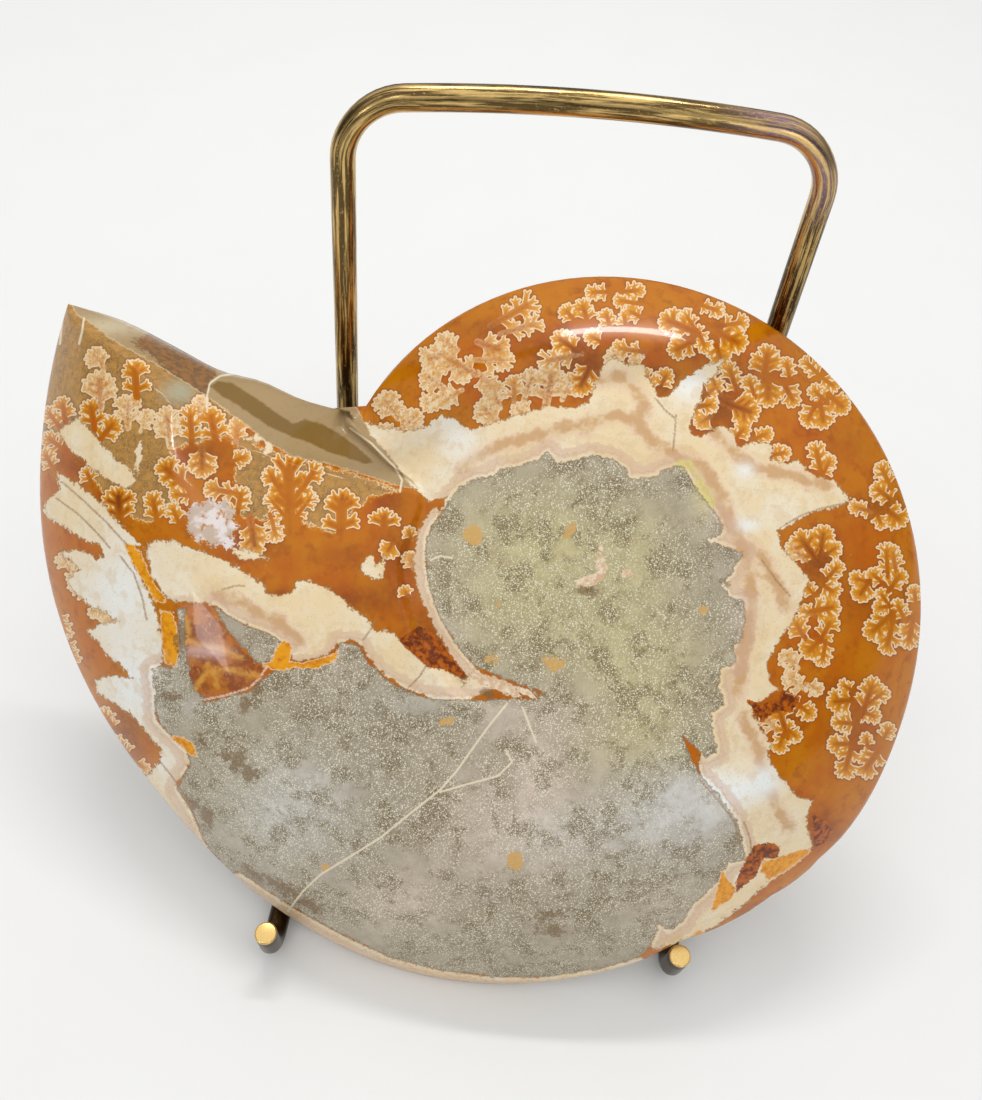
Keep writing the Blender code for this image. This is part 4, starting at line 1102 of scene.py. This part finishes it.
    ribbon = ragged("ribbon_edge", 1.2, 0.8)
    orange = graph.blend(graph.step(small, 0.42, 0.68), (0.86, 0.36, 0.01), (0.62, 0.21, 0.006))
    colour = graph.blend(cover(ribbon), colour, orange)
    colour = graph.blend(graph.times(line(ribbon, 0.11), 0.7), colour, settings.line)
    triangle_rim = graph.math("MULTIPLY_ADD", fine, 0.4, mark["triangle_rim"])
    colour = graph.blend(graph.step(triangle_rim, 0.12, 0.3, 0.9, 0.0), colour, (0.80, 0.58, 0.46))
    spot = ragged("spot_edge", 1.6, 1.2)
    colour = graph.blend(graph.times(cover(spot, 0.12), 0.85), colour, (0.68, 0.40, 0.12))
    dark = ragged("dark_edge", 3.2, 2.4)
    colour = graph.blend(graph.times(cover(dark, 0.4), 0.7), colour, (0.20, 0.12, 0.05))
    vein = graph.math("MULTIPLY_ADD", fine, 0.14, mark["vein"])
    colour = graph.blend(graph.step(vein, 0.1, 0.28, 0.85, 0.0), colour, (0.84, 0.74, 0.54))
    crack = graph.math("MULTIPLY_ADD", fine, 0.5, mark["crack"])
    colour = graph.blend(graph.step(crack, 0.0, 0.32, 0.75, 0.0), colour, (0.34, 0.19, 0.09))
    graph.set(shader.inputs["Base Color"], colour)

    dull = graph.times(cover(stone_edge), 0.16)
    dull = graph.math("MAXIMUM", dull, graph.times(cover(shell_edge), 0.10))
    dull = graph.math("ADD", dull, 0.12)
    polish = graph.group(polish_group(), Place=place, Roughness=dull, Wear=0.06)
    graph.set(shader.inputs["Roughness"], polish.outputs["Roughness"])
    rough = graph.times(grains.outputs["Height"], cover(stone_edge))
    graph.bump(shader, graph.math("MULTIPLY_ADD", polish.outputs["Height"], 0.12, rough), 0.18, 0.12)
    shader.inputs["Specular IOR Level"].default_value = 0.15
    graph.set(shader.inputs["Coat Weight"], graph.step(stone_edge, -0.1, 0.3, 0.25, 0.04))
    shader.inputs["Coat Roughness"].default_value = 0.03
    return material


def sawn_back_material(settings):
    """The sawn back: a spiral of chambers filled with calcite, and the stone-filled last half turn."""
    material, graph, shader = new_material("sawn ammonite back")
    place = graph.attribute("face_place", "Vector")
    parts = graph.tree.nodes.new("ShaderNodeSeparateXYZ")
    graph.set(parts.inputs[0], place)
    across, up = parts.outputs["X"], parts.outputs["Y"]
    radius = graph.math("SQRT", graph.math("ADD", graph.times(across, across), graph.times(up, up)))
    angle = graph.math("ARCTAN2", up, across)
    full_turn = 2.0 * math.pi
    sweep = graph.math("WRAP", graph.math("SUBTRACT", SPIRAL_START_ANGLE, angle), full_turn, 0.0)
    growth = graph.math("LOGARITHM", graph.math("DIVIDE", radius, SPIRAL_START_RADIUS), math.e)
    growth = graph.math("DIVIDE", growth, SPIRAL_GROWTH)
    turns = graph.math("DIVIDE", graph.math("SUBTRACT", growth, sweep), full_turn)
    whorl = graph.math("FLOOR", turns)
    share = graph.math("SUBTRACT", turns, whorl)
    small = graph.noise(place, 0.8, 4.0, 0.65)
    wobble = graph.times(graph.math("SUBTRACT", small, 0.5), 0.5)
    from_wall = graph.math("MINIMUM", share, graph.math("SUBTRACT", 1.0, share))
    whorl_width = graph.times(radius, full_turn * SPIRAL_GROWTH)
    from_wall = graph.math("ADD", graph.times(from_wall, whorl_width), wobble)
    path = graph.math("ADD", sweep, graph.times(graph.math("ADD", whorl, 1.0), full_turn))
    bend = graph.times(graph.math("SINE", graph.times(share, math.pi)), 0.75)
    cell = graph.math("ADD", graph.times(path, CHAMBERS_A_TURN / full_turn), bend)
    number = graph.math("FLOOR", cell)
    within_cell = graph.math("SUBTRACT", cell, number)
    from_septum = graph.math("MINIMUM", within_cell, graph.math("SUBTRACT", 1.0, within_cell))
    from_septum = graph.times(from_septum, graph.times(radius, full_turn / CHAMBERS_A_TURN))
    from_septum = graph.math("ADD", from_septum, graph.times(wobble, 0.6))
    in_body = graph.step(path, STONE_FILL_START - 0.02, STONE_FILL_START + 0.02)
    noise = graph.tree.nodes.new("ShaderNodeTexWhiteNoise")
    noise.noise_dimensions = "2D"
    key = graph.tree.nodes.new("ShaderNodeCombineXYZ")
    graph.set(key.inputs["X"], number)
    graph.set(key.inputs["Y"], whorl)
    graph.set(noise.inputs["Vector"], key.outputs[0])
    filling = graph.ramp(noise.outputs["Value"], (
        (0.0, (0.42, 0.16, 0.02)), (0.22, (0.62, 0.34, 0.10)), (0.42, (0.24, 0.075, 0.012)), (0.6, (0.80, 0.66, 0.42)),
        (0.78, (0.50, 0.24, 0.05)), (1.0, (0.70, 0.68, 0.60))))
    inner = graph.math("MINIMUM", from_septum, from_wall)
    centre = graph.blend(graph.step(graph.noise(place, 1.6, 4.0, 0.7), 0.35, 0.65), filling, (0.20, 0.07, 0.02))
    filling = graph.blend(graph.step(inner, 0.6, 2.4, 0.0, 0.6), filling, centre)
    filling = graph.blend(graph.step(inner, 0.2, 0.9, 0.55, 0.0), filling, (0.78, 0.58, 0.32))
    grains = graph.group(speckle_group(), **{
        "Place": place, "Base": (0.34, 0.32, 0.23), "Pale grain": (0.66, 0.62, 0.44), "Dark grain": (0.14, 0.10, 0.06),
        "Pale amount": 0.6, "Dark amount": 0.6})
    colour = graph.blend(graph.step(from_septum, 0.22, 0.42, 1.0, 0.0), filling, (0.82, 0.68, 0.46))
    colour = graph.blend(in_body, colour, grains.outputs["Color"])
    wall = graph.blend(graph.step(small, 0.4, 0.62), (0.80, 0.66, 0.44), (0.42, 0.24, 0.10))
    colour = graph.blend(graph.step(from_wall, 0.55, 0.8, 1.0, 0.0), colour, wall)
    graph.set(shader.inputs["Base Color"], colour)
    polish = graph.group(polish_group(), Place=place, Roughness=0.2, Wear=0.08)
    graph.set(shader.inputs["Roughness"], polish.outputs["Roughness"])
    graph.bump(shader, polish.outputs["Height"], 0.15, 0.1)
    shader.inputs["Coat Weight"].default_value = 0.3
    shader.inputs["Coat Roughness"].default_value = 0.08
    return material


def wire_corners():
    """Corners of the wire's path before it is bent, and the radius of each bend."""
    half = STAND_WIDTH / 2.0
    lean_back = STAND_HEIGHT * math.tan(UPRIGHT_LEAN_BACK)
    lean_out = HOOK_HEIGHT * math.tan(HOOK_LEAN_OUT)
    sides = []
    for sign in (-1.0, 1.0):
        sides.append([
            Vector((sign * half + FRONT_SHIFT, -lean_out, WIRE_CENTRE_HEIGHT + HOOK_HEIGHT)),
            Vector((sign * half + FRONT_SHIFT, 0.0, WIRE_CENTRE_HEIGHT)),
            Vector((sign * half, STAND_DEPTH, WIRE_CENTRE_HEIGHT)),
            Vector((sign * half + TOP_SHIFT, STAND_DEPTH + lean_back, WIRE_CENTRE_HEIGHT + STAND_HEIGHT)),
        ])
    corners = [(place + STAND_SHIFT) * MM for place in sides[0] + sides[1][::-1]]
    bends = [radius * MM for radius in (HOOK_BEND, HEEL_BEND, TOP_BEND, TOP_BEND, HEEL_BEND, HOOK_BEND)]
    return corners, bends


def build_stand(settings):
    """The stand: a round ring drawn along its straight runs and spun round its bends."""
    corners, bends = wire_corners()
    model = bmesh.new()
    along_layer = model.verts.layers.float.new("along")
    around_layer = model.verts.layers.float_vector.new("around")
    start_heading = (corners[1] - corners[0]).normalized()
    turn = start_heading.to_track_quat("Z", "X").to_matrix().to_4x4()
    ring = bmesh.ops.create_circle(model, cap_ends=False, radius=settings.wire_radius, segments=WIRE_SIDES,
                                   matrix=Matrix.Translation(corners[0]) @ turn)["verts"]
    for index, vertex in enumerate(ring):
        angle = 2.0 * math.pi * index / WIRE_SIDES
        vertex[around_layer] = Vector((math.cos(angle), math.sin(angle), 0.0))
    first_edges = list(model.edges)
    edges = first_edges
    travelled = 0.0

    def extend(distance):
        """Extrude the ring at the wire's end, and note how far along the wire the new one lies."""
        nonlocal edges, travelled
        made = bmesh.ops.extrude_edge_only(model, edges=edges)["geom"]
        verts = [item for item in made if isinstance(item, bmesh.types.BMVert)]
        edges = [item for item in made if isinstance(item, bmesh.types.BMEdge) and all(v in verts for v in item.verts)]
        travelled += distance
        for vertex in verts:
            vertex[along_layer] = travelled / MM
        return verts

    def draw_straight(start, end):
        """Draw the wire along a straight run."""
        steps = max(1, round((end - start).length / (RUN_STEP * MM)))
        move = (end - start) / steps
        for _ in range(steps):
            bmesh.ops.translate(model, verts=extend(move.length), vec=move)

    place = corners[0]
    for before, corner, after, radius in zip(corners, corners[1:], corners[2:], bends):
        incoming, outgoing = (corner - before).normalized(), (after - corner).normalized()
        angle = incoming.angle(outgoing)
        set_back = radius * math.tan(angle / 2.0)
        run_end = corner - incoming * set_back
        draw_straight(place, run_end)
        axis = incoming.cross(outgoing).normalized()
        centre = run_end + axis.cross(incoming) * radius
        steps = max(1, round(angle / BEND_STEP))
        for _ in range(steps):
            verts = extend(radius * angle / steps)
            bmesh.ops.rotate(model, verts=verts, cent=centre, matrix=Matrix.Rotation(angle / steps, 3, axis))
        place = corner + outgoing * set_back
    draw_straight(place, corners[-1])
    for vertex in model.verts:
        vertex.co += top_bar_bow(vertex.co, corners[3], corners[4])
    ends = []
    for rim in (first_edges, edges):
        ends += bmesh.ops.contextual_create(model, geom=rim)["faces"]
    end_edges = [edge for face in ends for edge in face.edges]
    bmesh.ops.recalc_face_normals(model, faces=model.faces)
    bmesh.ops.bevel(model, geom=end_edges, offset=CUT_END_BEVEL * MM, segments=3, profile=0.5, affect="EDGES",
                    material=-1)
    for polygon in model.faces:
        polygon.smooth = True
    mesh = bpy.data.meshes.new("stand_wire")
    model.to_mesh(mesh)
    model.free()
    mesh.set_sharp_from_angle(angle=WIRE_SHARP_ANGLE)
    mesh.materials.append(brass_material(settings, travelled / MM))
    wire = bpy.data.objects.new("stand_wire", mesh)
    bpy.context.scene.collection.objects.link(wire)
    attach(wire, "root")
    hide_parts("wire_stand")


def top_bar_bow(place, left_top, right_top):
    """How far a point of the wire is raised by the slight arch of the top bar."""
    if place.z < left_top.z / 2.0:
        return Vector((0.0, 0.0, 0.0))
    share = min(max((place.x - left_top.x) / (right_top.x - left_top.x), 0.0), 1.0)
    rise = TOP_BAR_BOW * MM * 4.0 * share * (1.0 - share)
    return Vector((0.0, math.sin(UPRIGHT_LEAN_BACK), math.cos(UPRIGHT_LEAN_BACK))) * rise


def brass_material(settings, length):
    """Bright drawn brass with long streaks and a dark film, partly tarnish and partly painted dark reflection, that
    gathers low on the uprights and on the right side.
    """
    material, graph, shader = new_material("tarnished brass wire")
    along = graph.attribute("along")
    around = graph.attribute("around", "Vector")

    def on_wire(width, stretch):
        """A place for a texture that is laid round the wire and stretched along it."""
        run = graph.tree.nodes.new("ShaderNodeCombineXYZ")
        graph.set(run.inputs["Z"], graph.times(along, stretch))
        node = graph.tree.nodes.new("ShaderNodeVectorMath")
        node.operation = "MULTIPLY_ADD"
        for socket, value in zip(node.inputs, (around, (width, width, 0.0), run.outputs[0])):
            graph.set(socket, value)
        return node.outputs[0]

    streaked = on_wire(1.6, 0.035)
    streak = graph.noise(streaked, 2.2, 5.0, 0.65)
    fleck = graph.noise(on_wire(1.9, 0.5), 3.0, 4.0, 0.7)
    from_middle = graph.math("ABSOLUTE", graph.math("SUBTRACT", along, length / 2.0))
    # Painted dark reflection, partly real tarnish: the wire is darker along its streaks, low on the uprights and on the
    # right side.
    low = graph.step(from_middle, 66.0, 112.0, 0.0, 0.95)
    tarnish_and_dark_reflection = graph.math("ADD", graph.step(streak, 0.41, 0.56, 0.15, 0.92), low)
    painted_dark_right_side = graph.step(along, length / 2.0 + 36.0, length / 2.0 + 60.0, 0.0, 0.35)
    tarnish_and_dark_reflection = graph.math("ADD", tarnish_and_dark_reflection, painted_dark_right_side)
    tarnish_and_dark_reflection = graph.times(tarnish_and_dark_reflection, graph.step(fleck, 0.56, 0.7, 1.0, 0.4), clamp=True)
    bright_ends = graph.step(from_middle, length / 2.0 - 0.6, length / 2.0 - 0.2, 1.0, 0.0)
    tarnish_and_dark_reflection = graph.times(tarnish_and_dark_reflection, bright_ends, clamp=True)
    metal = graph.blend(graph.step(fleck, 0.4, 0.6, 0.0, 0.4), settings.brass, (0.62, 0.36, 0.13))
    from_corner = graph.math("ABSOLUTE", graph.math("SUBTRACT", along, length / 2.0 + 32.0))
    corner = graph.step(from_corner, 4.0, 16.0, 0.75, 0.0)
    oil = graph.ramp(fleck, ((0.35, (0.10, 0.12, 0.30)), (0.5, (0.30, 0.16, 0.24)), (0.65, (0.30, 0.25, 0.16))))
    tarnished_and_reflecting_dark = graph.blend(corner, settings.tarnish_and_dark_reflection, oil)
    colour = graph.blend(tarnish_and_dark_reflection, metal, tarnished_and_reflecting_dark)
    graph.set(shader.inputs["Base Color"], colour)
    shader.inputs["Metallic"].default_value = 1.0
    polish = graph.group(polish_group(), Place=streaked, Roughness=0.14, Wear=0.12)
    graph.set(shader.inputs["Roughness"], polish.outputs["Roughness"])
    graph.bump(shader, streak, 0.12, 0.05)
    return material


def add_lamp(name, place, size, power):
    """A soft lamp that faces the fossil."""
    lamp = bpy.data.lights.new(name, "AREA")
    lamp.shape = "RECTANGLE"
    lamp.size, lamp.size_y = size
    lamp.energy = power
    holder = bpy.data.objects.new(name, lamp)
    holder.location = FOSSIL_PLACE + place
    holder.rotation_mode = "QUATERNION"
    holder.rotation_quaternion = (-place).to_track_quat("-Z", "Y")
    bpy.context.scene.collection.objects.link(holder)


def build_stage(settings):
    """The floor, the even light all round, the soft lamps and the camera."""
    model = bmesh.new()
    bmesh.ops.create_grid(model, x_segments=1, y_segments=1, size=settings.floor_size / 2.0)
    mesh = bpy.data.meshes.new("floor")
    model.to_mesh(mesh)
    model.free()
    material, graph, shader = new_material("pale floor")
    place = graph.tree.nodes.new("ShaderNodeTexCoord").outputs["Object"]
    grain = graph.noise(place, 40.0, 3.0, 0.6)
    darker = [value * FLOOR_GRAIN for value in settings.floor]
    graph.set(shader.inputs["Base Color"], graph.blend(grain, settings.floor, darker))
    shader.inputs["Roughness"].default_value = 0.7
    mesh.materials.append(material)
    floor = bpy.data.objects.new("floor", mesh)
    floor.location = (0.0, 0.0, -FLOOR_DROP * MM)
    bpy.context.scene.collection.objects.link(floor)

    world = bpy.data.worlds.new("studio")
    world.use_nodes = True
    sky = Graph(world.node_tree)
    parts = sky.tree.nodes.new("ShaderNodeSeparateXYZ")
    sky.set(parts.inputs[0], sky.tree.nodes.new("ShaderNodeTexCoord").outputs["Generated"])
    background = world.node_tree.nodes["Background"]
    background.inputs["Color"].default_value = (1.0, 1.0, 1.0, 1.0)
    height = sky.step(parts.outputs["Z"], 0.05, 0.95, 0.16, 1.0)
    seen = sky.tree.nodes.new("ShaderNodeLightPath").outputs["Is Camera Ray"]
    even = sky.math("MULTIPLY", height, settings.sky)
    behind = sky.math("MULTIPLY", sky.math("SUBTRACT", BACKDROP_TONE, even), seen)
    sky.set(background.inputs["Strength"], sky.math("ADD", even, behind))
    bpy.context.scene.world = world
    bpy.context.scene.view_settings.view_transform = "Standard"
    for name, heading, distance, size, power in LAMPS:
        add_lamp(name, Vector(heading).normalized() * distance, size, power * settings.light)

    right, up, forward = camera_axes()
    camera = bpy.data.cameras.new("photo_camera")
    camera.sensor_width = SENSOR_MM
    camera.lens = FOCAL_PIXELS / PHOTO_HEIGHT * SENSOR_MM
    camera.clip_start = 0.01
    camera.clip_end = 20.0
    holder = bpy.data.objects.new("photo_camera", camera)
    holder.matrix_world = Matrix.Translation(CAMERA_PLACE) @ Matrix((right, up, -forward)).transposed().to_4x4()
    bpy.context.scene.collection.objects.link(holder)
    bpy.context.scene.camera = holder


class AMMONITE_OT_build_half(bpy.types.Operator):
    """Build the polished ammonite half"""

    bl_idname = "ammonite.build_half"
    bl_label = "Build the ammonite half"

    def execute(self, context):
        build_ammonite(context.scene.ammonite_half)
        return {"FINISHED"}


class AMMONITE_OT_build_stand(bpy.types.Operator):
    """Build the bent-wire stand"""

    bl_idname = "ammonite.build_stand"
    bl_label = "Build the wire stand"

    def execute(self, context):
        build_stand(context.scene.ammonite_stand)
        return {"FINISHED"}


class AMMONITE_OT_build_stage(bpy.types.Operator):
    """Build the plain floor, the light and the camera"""

    bl_idname = "ammonite.build_stage"
    bl_label = "Build the stage"

    def execute(self, context):
        build_stage(context.scene.ammonite_stage)
        return {"FINISHED"}


class AMMONITE_PT_panel(bpy.types.Panel):
    """Lists the pieces and what can be changed on them"""

    bl_idname = "AMMONITE_PT_panel"
    bl_label = "Ammonite half"
    bl_space_type = "VIEW_3D"
    bl_region_type = "UI"
    bl_category = "Ammonite"

    def draw(self, context):
        for settings, operator in (("ammonite_half", AMMONITE_OT_build_half),
                                   ("ammonite_stand", AMMONITE_OT_build_stand),
                                   ("ammonite_stage", AMMONITE_OT_build_stage)):
            box = self.layout.box()
            group = getattr(context.scene, settings)
            for name in group.bl_rna.properties.keys():
                if name not in ("rna_type", "name"):
                    box.prop(group, name)
            box.operator(operator.bl_idname)


CLASSES = (AmmoniteSettings, StandSettings, StageSettings, AMMONITE_OT_build_half, AMMONITE_OT_build_stand,
           AMMONITE_OT_build_stage, AMMONITE_PT_panel)


def register():
    """Register the classes and their settings."""
    for item in CLASSES:
        bpy.utils.register_class(item)
    bpy.types.Scene.ammonite_half = PointerProperty(type=AmmoniteSettings)
    bpy.types.Scene.ammonite_stand = PointerProperty(type=StandSettings)
    bpy.types.Scene.ammonite_stage = PointerProperty(type=StageSettings)


def unregister():
    """Remove the settings and the classes."""
    del bpy.types.Scene.ammonite_half
    del bpy.types.Scene.ammonite_stand
    del bpy.types.Scene.ammonite_stage
    for item in reversed(CLASSES):
        bpy.utils.unregister_class(item)


def main():
    """Build every piece and the stage."""
    register()
    bpy.ops.ammonite.build_half()
    bpy.ops.ammonite.build_stand()
    bpy.ops.ammonite.build_stage()


if __name__ == "__main__":
    main()
